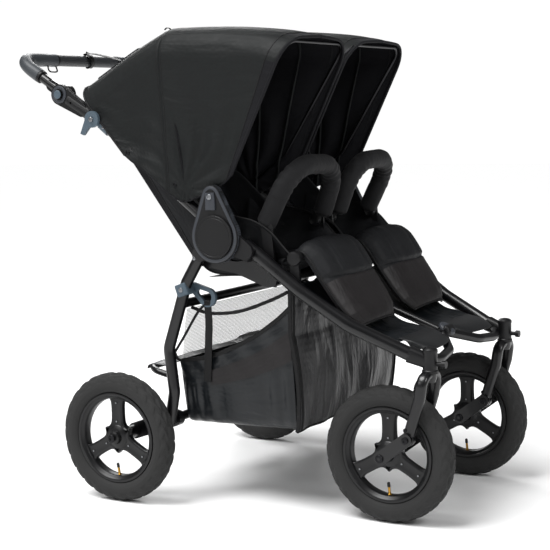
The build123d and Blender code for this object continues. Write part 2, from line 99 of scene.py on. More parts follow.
def linear(code: str) -> tuple[float, float, float, float]:
    """Turns an sRGB hex colour to linear light.

    Args:
        code: Six hex digits, with or without a leading hash.

    Returns:
        Red, green, blue and an alpha of one.
    """
    value = np.array([int(code.lstrip("#")[i:i + 2], 16) for i in (0, 2, 4)]) / 255
    light = np.where(value <= 0.04045, value / 12.92, ((value + 0.055) / 1.055) ** 2.4)
    return (float(light[0]), float(light[1]), float(light[2]), 1.0)


def add(tree: bpy.types.NodeTree, kind: str, inputs: dict | None = None, **settings) -> bpy.types.Node:
    """Adds one node with its settings and its inputs.

    Args:
        tree: The node tree that gets the node.
        kind: The node's type name.
        inputs: Input name or number to a value, or to the output that feeds it.
        **settings: Attributes set on the node before its inputs.

    Returns:
        The node.
    """
    made = tree.nodes.new(kind)
    for name, value in settings.items():
        setattr(made, name, value)
    for name, value in (inputs or {}).items():
        if isinstance(value, bpy.types.NodeSocket):
            tree.links.new(value, made.inputs[name])
        else:
            made.inputs[name].default_value = value
    return made


@dataclass(frozen=True)
class Finish:
    """A surface: its colours, its shader values and the pattern that breaks it up.

    The base class gives a soft mottle between two colours and a fine grain in the bump.
    """

    name: str
    dark: str
    light: str
    rough: float = 0.5
    rough_span: float = 0.08
    mottle_mm: float = 60.0
    grain_mm: float = 2.5
    grain_depth: float = 0.12
    metallic: float = 0.0
    coat: float = 0.0
    sheen: float = 0.0
    specular: float = 0.5
    relief_mm: float = 1.0

    def pattern(self, tree: bpy.types.NodeTree, place: bpy.types.NodeSocket) -> bpy.types.NodeSocket:
        """Height of the surface's own relief.

        Args:
            tree: The material's nodes.
            place: The coordinates to read, in metres.

        Returns:
            The height's output socket.
        """
        return add(tree, "ShaderNodeTexNoise", {"Vector": place, "Scale": 1000 / self.grain_mm, "Detail": 2.0}
                   ).outputs["Fac"]

    def place(self, tree: bpy.types.NodeTree) -> bpy.types.NodeSocket:
        """The coordinates the pattern reads: the object's own, in metres."""
        return add(tree, "ShaderNodeTexCoord").outputs["Object"]

    def material(self) -> bpy.types.Material:
        """Makes the material, or returns the one already made.

        Returns:
            The material.
        """
        made = bpy.data.materials.get(self.name)
        if made:
            return made
        made = bpy.data.materials.new(self.name)
        made.use_nodes = True
        tree = made.node_tree
        tree.nodes.clear()
        place = self.place(tree)
        body = add(tree, "ShaderNodeTexCoord").outputs["Object"]
        mottle = add(tree, "ShaderNodeTexNoise", {"Vector": body, "Scale": 1000 / self.mottle_mm, "Detail": 4.0})
        colour = add(tree, "ShaderNodeMix", {0: mottle.outputs["Fac"], 6: linear(self.dark), 7: linear(self.light)},
                     data_type="RGBA")
        rough = add(tree, "ShaderNodeMapRange", {
            "Value": mottle.outputs["Fac"], "To Min": self.rough - self.rough_span,
            "To Max": self.rough + self.rough_span})
        height = self.pattern(tree, place)
        bump = add(tree, "ShaderNodeBump", {
            "Height": height, "Strength": self.grain_depth, "Distance": self.relief_mm / 1000})
        shader = add(tree, "ShaderNodeBsdfPrincipled", {
            "Base Color": colour.outputs[2], "Roughness": rough.outputs[0], "Normal": bump.outputs[0],
            "Metallic": self.metallic, "Coat Weight": self.coat, "Sheen Weight": self.sheen,
            "Specular IOR Level": self.specular})
        self.close(tree, shader)
        return made

    def close(self, tree: bpy.types.NodeTree, shader: bpy.types.Node) -> None:
        """Joins the shader to the material's output."""
        add(tree, "ShaderNodeOutputMaterial", {"Surface": shader.outputs[0]})


@dataclass(frozen=True)
class Woven(Finish):
    """Cloth: two crossed sets of threads, each a sine ridge, on the piece's own flat lengths."""

    thread_mm: float = 1.6

    def place(self, tree: bpy.types.NodeTree) -> bpy.types.NodeSocket:
        """The cloth's flat coordinates, in metres."""
        return add(tree, "ShaderNodeUVMap", uv_map="Cut").outputs["UV"]

    def pattern(self, tree: bpy.types.NodeTree, place: bpy.types.NodeSocket) -> bpy.types.NodeSocket:
        """Product of a sine along each thread direction, with a slub noise over it.

        Args:
            tree: The material's node tree.
            place: Where the pattern is read.

        Returns:
            The height, for the bump.
        """
        waves = [add(tree, "ShaderNodeTexWave", {"Vector": place, "Scale": 314 / self.thread_mm / 10},
                     bands_direction=way) for way in ("X", "Y")]
        weave = add(tree, "ShaderNodeMath", {0: waves[0].outputs["Fac"], 1: waves[1].outputs["Fac"]},
                    operation="MULTIPLY")
        slub = add(tree, "ShaderNodeTexNoise", {"Vector": place, "Scale": 1000 / self.grain_mm, "Detail": 3.0})
        return add(tree, "ShaderNodeMath", {0: weave.outputs[0], 1: slub.outputs["Fac"]}, operation="ADD").outputs[0]


@dataclass(frozen=True)
class Creased(Woven):
    """Coated cloth: long soft creases that run down the sheet, over a faint weave."""

    crease_mm: float = 28.0
    relief_mm: float = 9.0
    stretch: float = 0.28
    weave_share: float = 0.04

    def pattern(self, tree: bpy.types.NodeTree, place: bpy.types.NodeSocket) -> bpy.types.NodeSocket:
        """Noise stretched along the drop, so that its ridges are creases.

        Args:
            tree: The material's node tree.
            place: Where the pattern is read.

        Returns:
            The height, for the bump.
        """
        longer = add(tree, "ShaderNodeMapping", {"Vector": place, "Scale": (1.0, self.stretch, 1.0)})
        crease = add(tree, "ShaderNodeTexNoise", {"Vector": longer.outputs[0], "Scale": 1000 / self.crease_mm,
                                                  "Detail": 3.0, "Distortion": 0.6})
        weave = super().pattern(tree, place)
        fine = add(tree, "ShaderNodeMath", {0: weave, 1: self.weave_share}, operation="MULTIPLY")
        return add(tree, "ShaderNodeMath", {0: crease.outputs["Fac"], 1: fine.outputs[0]}, operation="ADD").outputs[0]


@dataclass(frozen=True)
class Netting(Woven):
    """Open net: a round hole in each cell of a square grid lets the light through."""

    cell_mm: float = 3.0
    hole_share: float = 0.36

    def close(self, tree: bpy.types.NodeTree, shader: bpy.types.Node) -> None:
        """Mixes the thread with clear air, by the distance from the middle of each cell.

        Args:
            tree: The material's node tree.
            shader: The thread's own shader.
        """
        place = self.place(tree)
        cells = add(tree, "ShaderNodeTexVoronoi", {"Vector": place, "Scale": 1000 / self.cell_mm, "Randomness": 0.0})
        hole = add(tree, "ShaderNodeMath", {0: cells.outputs["Distance"], 1: self.hole_share},
                   operation="LESS_THAN")
        clear = add(tree, "ShaderNodeBsdfTransparent")
        mix = add(tree, "ShaderNodeMixShader", {0: hole.outputs[0], 1: shader.outputs[0], 2: clear.outputs[0]})
        add(tree, "ShaderNodeOutputMaterial", {"Surface": mix.outputs[0]})


@dataclass(frozen=True)
class Punched(Finish):
    """Rubber sleeve with rows of small round pits."""

    pit_mm: float = 9.0

    def place(self, tree: bpy.types.NodeTree) -> bpy.types.NodeSocket:
        """The sleeve's flat coordinates, in metres."""
        return add(tree, "ShaderNodeUVMap", uv_map="Cut").outputs["UV"]

    def pattern(self, tree: bpy.types.NodeTree, place: bpy.types.NodeSocket) -> bpy.types.NodeSocket:
        """A step down inside a fixed radius of each cell's middle."""
        cells = add(tree, "ShaderNodeTexVoronoi", {"Vector": place, "Scale": 1000 / self.pit_mm, "Randomness": 0.0})
        return add(tree, "ShaderNodeMath", {0: cells.outputs["Distance"], 1: 0.27},
                   operation="GREATER_THAN").outputs[0]


# Powder-coated aluminium: sprayed and baked, so it has a faint orange peel and a soft long highlight.
POWDER = Finish("powder_coated_aluminium", "08080a", "0c0c0e", rough=0.30, grain_mm=1.8, grain_depth=0.04, coat=0.1,
                specular=0.4)
# Glass-filled nylon, moulded: fine spark-eroded grain, a broad dull highlight.
NYLON = Finish("moulded_nylon_black", "0b0b0c", "111113", rough=0.44, grain_mm=1.6, grain_depth=0.08, specular=0.3)
NYLON_CHARCOAL = Finish("moulded_nylon_charcoal", "2f3237", "3a3d43", rough=0.42, grain_mm=1.6, grain_depth=0.08,
                        specular=0.35)
NYLON_SLATE = Finish("moulded_nylon_slate", "434f59", "51606b", rough=0.45, grain_mm=1.6, grain_depth=0.08,
                     specular=0.35)
WHEEL_NYLON = Finish("moulded_wheel_nylon", "0d0d0e", "131315", rough=0.36, grain_mm=2.0, grain_depth=0.05,
                     specular=0.35)
# Styrene-butadiene tyre rubber: moulded, dusty in the low places, so it is nearly matt.
TYRE = Finish("tyre_rubber", "161618", "212123", rough=0.62, rough_span=0.1, mottle_mm=35, grain_mm=3, grain_depth=0.15,
              specular=0.25)
# Closed-cell foam sleeve: slightly green-grey, smooth skin.
FOAM = Finish("foam_grip", "33363a", "42464a", rough=0.45, grain_mm=1.4, grain_depth=0.12, specular=0.4)
PITTED = Punched("pitted_rubber_wrap", "2a2c2f", "37393c", rough=0.5, grain_depth=1.0, specular=0.4)
# Blackened and plain steel, turned: small tight highlights.
STEEL = Finish("zinc_plated_steel", "7c7e82", "989a9d", rough=0.32, metallic=1.0, grain_mm=1.0, grain_depth=0.04)
BLACK_STEEL = Finish("blackened_steel", "242425", "303032", rough=0.36, metallic=1.0, grain_mm=1.0, grain_depth=0.04)
BRASS = Finish("turned_brass", "b0802c", "c89a44", rough=0.3, metallic=1.0, grain_mm=1.0, grain_depth=0.05)
# Solution-dyed polyester, plain weave: matt with a little nap. Threads are drawn 2.4 mm apart to show.
CANOPY = Creased("woven_polyester_canopy", "0f0f12", "18181b", rough=0.78, mottle_mm=16, grain_mm=5, grain_depth=0.55,
                 crease_mm=55, specular=0.18)
LINING = Creased("woven_lining", "07090a", "101414", rough=0.6, mottle_mm=30, grain_mm=6, grain_depth=0.8,
                 crease_mm=60, specular=0.25)
SEAT = Creased("padded_polyester", "0d0e10", "18191c", rough=0.66, mottle_mm=22, grain_mm=6, grain_depth=0.6,
               crease_mm=34, specular=0.25)
SLEEVE = Woven("quilted_sleeve_polyester", "121213", "1b1b1d", rough=0.74, mottle_mm=12, grain_mm=4, grain_depth=0.3,
               sheen=0.03, specular=0.2)
CALF = Creased("calf_panel_polyester", "161415", "211e1f", rough=0.5, mottle_mm=26, grain_mm=6, grain_depth=0.4,
               crease_mm=30, specular=0.3)
# Polyurethane-coated nylon: water runs off, so it shines softly along its creases.
COATED = Creased("coated_nylon", "101012", "1b1b1e", rough=0.38, grain_depth=0.8, crease_mm=34, specular=0.5)
COATED_DARK = Creased("coated_nylon_dark", "0b0e11", "14181c", rough=0.34, grain_depth=0.7, crease_mm=46,
                      specular=0.35)
NET = Netting("open_net", "b4b6b3", "c6c8c5", rough=0.8, grain_depth=0.1, specular=0.1, cell_mm=3.6)
WEBBING = Woven("webbing", "0b0b0c", "121213", rough=0.6, grain_mm=3, grain_depth=0.5, thread_mm=2.0, specular=0.25)
GUARD = Finish("toe_guard_rubberised", "141516", "1d1e20", rough=0.42, grain_mm=2.2, grain_depth=0.25, specular=0.35)


# ------------------------------------------------------------------------------ shapes


def unit(value: Array) -> Array:
    """Scales vectors to length one, along the last axis."""
    return value / np.maximum(np.linalg.norm(value, axis=-1, keepdims=True), 1e-12)


def smooth(points: list | Array, count: int) -> Array:
    """A curve through points: each span is the cubic with slopes of half the chord across it.

    Args:
        points: Points in order, any number of coordinates.
        count: How many points to return, evenly spread along the curve.

    Returns:
        The curve's points.
    """
    p = np.asarray(points, float)
    padded = np.vstack([2 * p[0] - p[1], p, 2 * p[-1] - p[-2]])
    t = np.linspace(0, len(p) - 1, count * 4)
    i = np.minimum(t.astype(int), len(p) - 2)
    f = (t - i)[:, None]
    a, b, c, d = padded[i], padded[i + 1], padded[i + 2], padded[i + 3]
    curve = 0.5 * (2 * b + (c - a) * f + (2 * a - 5 * b + 4 * c - d) * f ** 2 + (3 * b - a - 3 * c + d) * f ** 3)
    return evenly(curve, count)


def evenly(curve: Array, count: int) -> Array:
    """Points at even distances along a line of points.

    Args:
        curve: The line's points.
        count: How many points to return.

    Returns:
        The new points.
    """
    step = np.concatenate([[0], np.cumsum(np.linalg.norm(np.diff(curve, axis=0), axis=1))])
    at = np.linspace(0, step[-1], count)
    return np.stack([np.interp(at, step, curve[:, k]) for k in range(curve.shape[1])], axis=1)


def bent(points: list, radius: float, count: int) -> Array:
    """Straight runs joined by arcs: at each corner the arc starts radius x tan(half turn) before it.

    Args:
        points: The corners, in order.
        radius: Every arc's radius.
        count: How many points to return, evenly spread.

    Returns:
        The path's points.
    """
    p = np.asarray(points, float)
    runs = [p[:1]]
    for k in range(1, len(p) - 1):
        back, on = unit(p[k - 1] - p[k]), unit(p[k + 1] - p[k])
        half = math.acos(float(np.clip(back @ on, -1, 1))) / 2
        middle = p[k] + unit(back + on) * radius / math.sin(half)
        start = p[k] + back * radius / math.tan(half)
        a, out = start - middle, unit(p[k] - middle)
        turn = np.linspace(0, math.pi - 2 * half, 14)[:, None]
        tangent = unit(out - unit(a) * float(unit(a) @ out))
        runs.append(middle + radius * (np.cos(turn) * unit(a) + np.sin(turn) * tangent))
    runs.append(p[-1:])
    return evenly(np.vstack(runs), count)


def carried(path: Array, profile: Array, across: tuple | Array, grow: Array | None = None) -> Array:
    """A closed profile carried along a path.

    Each profile point (a, b) lies at the path's point plus a times the across direction, made square to
    the path, plus b times the direction square to both.

    Args:
        path: The path's points, (n, 3).
        profile: The profile's points, (m, 2), or one profile for each path point, (n, m, 2).
        across: A direction that the path never runs along.
        grow: A scale for the profile at each path point.

    Returns:
        A grid of points, (n, m, 3).
    """
    along = unit(np.gradient(path, axis=0))
    up = unit(np.cross(along, np.asarray(across, float)))
    over = unit(np.cross(up, along))
    shape = np.broadcast_to(profile, (len(path),) + np.asarray(profile).shape[-2:])
    if grow is not None:
        shape = shape * np.asarray(grow)[:, None, None]
    return path[:, None] + shape[..., :1] * over[:, None] + shape[..., 1:] * up[:, None]


def ring(radius: float | Array, count: int = 24, power: float = 1.0, flat: float = 1.0) -> Array:
    """A closed outline: cosine and sine of one turn, each raised to a power that squares it off.

    Args:
        radius: Half the outline's width.
        count: How many points, the last one on the first.
        power: One for an ellipse, less for a squarer outline.
        flat: The height as a share of the width.

    Returns:
        The outline's points, (count, 2).
    """
    a = np.linspace(0, 2 * np.pi, count)
    c, s = np.cos(a), np.sin(a)
    return np.stack([np.sign(c) * abs(c) ** power * radius, np.sign(s) * abs(s) ** power * radius * flat], axis=1)


def turned(profile: list | Array, centre: tuple | Array, axis: tuple, count: int = 32) -> Array:
    """A profile turned about an axis: point (d, r) sweeps the circle of radius r, d along the axis.

    Args:
        profile: Distances along the axis and radii.
        centre: The point on the axis where the distance is nought.
        axis: The axis direction.
        count: Points round the circle, the last one on the first.

    Returns:
        A grid of points.
    """
    line = unit(np.asarray(axis, float))
    side = unit(np.cross(line, [0.0, 0.0, 1.0] if abs(line[2]) < 0.9 else [0.0, 1.0, 0.0]))
    other = np.cross(line, side)
    a = np.linspace(0, 2 * np.pi, count)
    p = np.asarray(profile, float)
    spoke = np.cos(a)[:, None] * side + np.sin(a)[:, None] * other
    return np.asarray(centre, float) + p[:, :1, None] * line + p[:, 1:, None] * spoke


def button(radius: float, height: float) -> list:
    """The profile of a low domed head: flat seat, straight wall, rounded shoulder, shallow socket."""
    return [(0, 0), (0, radius), (height * 0.6, radius), (height * 0.9, radius * 0.9), (height, radius * 0.7),
            (height, radius * 0.38), (height * 0.55, radius * 0.34), (height * 0.55, 0)]


class Shell:
    """Collects grids of points and makes one mesh of them."""

    def __init__(self, name: str) -> None:
        """Starts an empty mesh.

        Args:
            name: The piece's name.
        """
        self.name = name
        self.points: list[Array] = []
        self.faces: list[Array] = []
        self.cuts: list[Array] = []
        self.slots: list[Array] = []
        self.count = 0

    def grid(self, points: Array, slot: int = 0, ends: bool = False, flip: bool = False) -> "Shell":
        """Adds a grid of points as quads, with its own lengths as flat coordinates.

        Args:
            points: The grid, (n, m, 3), in millimetres.
            slot: Which of the mesh's finishes it gets.
            ends: Whether the first and last rows are closed with a fan at their middle.
            flip: Whether the faces turn over.

        Returns:
            The shell itself.
        """
        if ends:
            first, last = points[:1].mean(axis=1, keepdims=True), points[-1:].mean(axis=1, keepdims=True)
            points = np.concatenate([np.broadcast_to(first, points[:1].shape), points,
                                     np.broadcast_to(last, points[:1].shape)])
        n, m = points.shape[:2]
        i, j = np.meshgrid(np.arange(n - 1), np.arange(m - 1), indexing="ij")
        a = (i * m + j).ravel()
        quads = np.stack([a, a + m, a + m + 1, a + 1], axis=1)
        if flip:
            quads = quads[:, ::-1]
        down = np.linalg.norm(np.diff(points, axis=0), axis=2).mean(axis=1)
        over = np.linalg.norm(np.diff(points, axis=1), axis=2).mean(axis=0)
        u, v = np.concatenate([[0], np.cumsum(down)]), np.concatenate([[0], np.cumsum(over)])
        flat = np.stack(np.meshgrid(v, u), axis=-1).reshape(-1, 2)
        self.points.append(points.reshape(-1, 3))
        self.cuts.append(flat[quads.ravel()])
        self.faces.append(quads + self.count)
        self.slots.append(np.full(len(quads), slot))
        self.count += n * m
        return self

    def make(self, body: str, finishes: list[Finish], slot: str, stands_for: tuple[str, ...] = (),
             closed: bool = True, sharp: float = 38.0, wall: float = 0.0, bevel: float = 0.0,
             level: int = 0) -> bpy.types.Object:
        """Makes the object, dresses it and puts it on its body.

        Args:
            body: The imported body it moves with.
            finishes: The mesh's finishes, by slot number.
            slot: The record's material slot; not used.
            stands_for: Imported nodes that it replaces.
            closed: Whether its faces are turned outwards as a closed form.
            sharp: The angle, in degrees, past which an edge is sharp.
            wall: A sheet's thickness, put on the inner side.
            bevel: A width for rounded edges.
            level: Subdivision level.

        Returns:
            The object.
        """
        points = np.concatenate(self.points) / 1000
        faces = np.concatenate(self.faces)
        mesh = bpy.data.meshes.new(self.name)
        mesh.from_pydata(points.tolist(), [], faces.tolist())
        layer = mesh.uv_layers.new(name="Cut")
        layer.data.foreach_set("uv", (np.concatenate(self.cuts) / 1000).ravel())
        mesh.polygons.foreach_set("material_index", np.concatenate(self.slots).astype(np.int32))
        work = bmesh.new()
        work.from_mesh(mesh)
        bmesh.ops.remove_doubles(work, verts=work.verts, dist=1e-5)
        if closed:
            bmesh.ops.recalc_face_normals(work, faces=work.faces)
        work.to_mesh(mesh)
        work.free()
        mesh.polygons.foreach_set("use_smooth", np.ones(len(mesh.polygons), bool))
        mesh.set_sharp_from_angle(angle=math.radians(sharp))
        made = bpy.data.objects.new(self.name, mesh)
        bpy.context.scene.collection.objects.link(made)
        for finish in finishes:
            mesh.materials.append(finish.material())
        if wall:
            skin = made.modifiers.new("wall", "SOLIDIFY")
            skin.thickness, skin.offset = wall / 1000, -1
            skin.material_offset = 1 if len(finishes) > 1 else 0
        if bevel:
            edge = made.modifiers.new("edge", "BEVEL")
            edge.width, edge.segments, edge.limit_method = bevel / 1000, 2, "ANGLE"
        if level:
            finer = made.modifiers.new("finer", "SUBSURF")
            finer.levels = finer.render_levels = level
        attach(made, body)
        if stands_for:
            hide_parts(*stands_for)
        log.info("%s: %d faces on %s", self.name, len(mesh.polygons), body)
        return made


def inflate(piece: bpy.types.Object, cap: float = 7.0, pressure: float = 4.0) -> None:
    """Fills a pad as if stuffed: cloth with air inside, stepped to rest, each point's move held to a cap.

    Args:
        piece: The pad, a closed mesh.
        cap: The furthest that a point may move, in millimetres.
        pressure: The air's pressure.
    """
    body = piece.parent
    piece.parent = None
    before = np.empty(len(piece.data.vertices) * 3)
    piece.data.vertices.foreach_get("co", before)
    cloth = piece.modifiers.new("stuffing", "CLOTH")
    settings = cloth.settings
    settings.use_pressure, settings.uniform_pressure_force = True, pressure
    settings.effector_weights.gravity = 0
    settings.quality = 4
    scene = bpy.context.scene
    cloth.point_cache.frame_start, cloth.point_cache.frame_end = 1, 20
    for step in range(1, 21):
        scene.frame_set(step)
    seen = piece.evaluated_get(bpy.context.evaluated_depsgraph_get())
    after = np.empty_like(before)
    seen.data.vertices.foreach_get("co", after)
    piece.modifiers.remove(cloth)
    move = (after - before).reshape(-1, 3)
    far = np.linalg.norm(move, axis=1, keepdims=True)
    limit = cap / 1000
    move *= np.minimum(1.0, limit * np.tanh(far / limit) / np.maximum(far, 1e-9))
    piece.data.vertices.foreach_set("co", (before.reshape(-1, 3) + move).ravel())
    piece.data.update()
    piece.parent = body
    scene.frame_set(1)


# ------------------------------------------------------------------------------ wheels


@dataclass
class Wheel:
    """An air-filled tyre on a three-spoked rim, with its valve and hub caps."""

    body: str
    tyre_node: str
    rim_node: str
    x: float
    y: float
    outward: int
    radius: float = 157.5
    half: float = 25.5
    bead: float = 108.0
    opening: float = 94.5
    lugs: int = 54

    @property
    def centre(self) -> tuple[float, float, float]:
        """The hub's middle."""
        return (self.x, self.y, self.radius)

    def tread(self) -> Array:
        """The tyre's skin.

        Round the section, the radius follows an ellipse from bead to bead. Blocks stand where a sine
        round the wheel, shifted by a zigzag across the tread, is above nought; their edge is a steep
        smooth step. Two ridges ring the sidewall.

        Returns:
            A grid of points.
        """
        a = np.linspace(-0.88 * np.pi, 0.88 * np.pi, 74)[None, :]
        p = np.linspace(0, 2 * np.pi, self.lugs * 8 + 1)[:, None]
        high = (self.radius - self.bead) / 2
        middle = self.bead + high * 0.98
        across = np.sign(np.sin(a)) * abs(np.sin(a)) ** 0.92 * self.half
        up = middle + high * 1.02 * np.sign(np.cos(a)) * abs(np.cos(a)) ** 0.85
        share = across / self.half
        zigzag = 1.3 * abs(((share * 3.2 + 8.5) % 2) - 1)
        wave = np.sin(self.lugs * p / 2 + np.pi * zigzag)
        step = 1 / (1 + np.exp(-9 * (wave - 0.05)))
        crown = np.clip((np.cos(a) - 0.12) * 6, 0, 1)
        groove = np.exp(-((abs(share) - 0.45) / 0.07) ** 2) + np.exp(-(share / 0.05) ** 2)
        scallop = 1.0 * np.exp(-((np.cos(a) - 0.12 - 0.12 * abs(np.sin(self.lugs * p / 4))) / 0.07) ** 2)
        rings = 0.9 * np.exp(-((np.cos(a) + 0.18) / 0.06) ** 2) + 0.7 * np.exp(-((np.cos(a) + 0.5) / 0.05) ** 2)
        lift = crown * (0.55 + 2.4 * (step - 1)) - crown * 2.0 * np.clip(groove, 0, 1) + rings - scallop
        reach = np.minimum(up + lift * np.clip(np.cos(a) + 0.45, 0.15, 1), self.radius)
        side = across + np.sign(across) * lift * np.clip(1 - abs(np.cos(a)), 0, 1) * 0.7
        side = np.clip(side, -self.half - 0.6, self.half + 0.6)
        grid = np.stack([np.broadcast_to(side, reach.shape), reach * np.cos(p), reach * np.sin(p)], axis=-1)
        return grid + np.array(self.centre)

    def spoke(self, degrees: float) -> Array:
        """One flat spoke: a squared ring whose width flares into hub and rim by two exponentials.

        Args:
            degrees: Its angle round the axle.

        Returns:
            The grid of points.
        """
        reach = np.linspace(20, self.opening + 1.5, 34)
        wide = 17.0 + 7.0 * np.exp(-(reach - 26) / 6) + 9.0 * np.exp(-(self.opening + 1 - reach) / 6)
        thick = 8.5 + 2.0 * np.exp(-(reach - 26) / 9)
        shape = ring(1.0, 33, power=0.45)
        dish = 1 - 0.13 * (abs(shape[:, 0]) < 0.62) * (abs(shape[:, 1]) > 0.5)
        a = math.radians(degrees)
        out, over = np.array([0, math.cos(a), math.sin(a)]), np.array([0, -math.sin(a), math.cos(a)])
        return (np.array(self.centre) + reach[:, None, None] * out + (wide[:, None] * shape[:, 0])[..., None] * over
                + (thick[:, None] * shape[:, 1] * dish)[..., None] * np.array([1.0, 0, 0]))

    def build(self) -> None:
        """Makes the tyre, the rim and the valve."""
        Shell(f"{self.tyre_node}_tread").grid(self.tread()).make(
            self.body, [TYRE], "tyre_rubber", (self.tyre_node,), sharp=55)
        rim = Shell(f"{self.rim_node}_casting")
        b, o = self.bead, self.opening
        lip = [(-18.5, b + 2), (-19.2, b - 1), (-18.5, b - 4), (-16.5, b - 5), (-14, o + 3.5), (-11, o + 0.8), (-4, o),
               (4, o), (11, o + 0.8), (14, o + 3.5), (16.5, b - 5), (18.5, b - 4), (19.2, b - 1), (18.5, b + 2),
               (0, b + 3), (-18.5, b + 2)]
        rim.grid(turned(lip, self.centre, (1, 0, 0), 120))
        for turn in (90, 210, 330):
            rim.grid(self.spoke(turn), ends=True)
        hub = [(-25, 0), (-25, 12), (-23, 15), (-14, 17), (-12, 27), (-9, 30), (9, 30), (12, 27), (14, 17), (23, 15),
               (25, 12), (25, 0)]
        rim.grid(turned(hub, self.centre, (1, 0, 0), 56))
        for turn in (90, 210, 330):
            a = math.radians(turn)
            for reach in (38, 84):
                spot = (self.x + self.outward * 9.2, self.y + reach * math.cos(a), self.radius + reach * math.sin(a))
                rim.grid(turned(button(2.1, 0.9), spot, (self.outward, 0, 0), 14), slot=1)
        rim.make(self.body, [WHEEL_NYLON, STEEL], "rim_nylon", (self.rim_node,))
        foot = np.array([self.x + self.outward * 3.0, self.y, self.radius - self.opening])
        lean = (self.outward * 0.22, 0.0, 1.0)
        stem = [(-2, 0), (-2, 4.5), (2, 4.2), (3, 3.0), (18, 3.0), (18.5, 2.4), (24, 2.4), (24, 0)]
        cap = [(20, 0), (20, 3.7), (29, 3.5), (30.5, 2.6), (31, 0)]
        Shell(f"{self.tyre_node}_valve").grid(turned(stem, foot, lean, 18)).grid(
            turned(cap, foot, lean, 18), slot=1).make(self.body, [BRASS, NYLON], "pin_steel")


# ------------------------------------------------------------------------------ frame


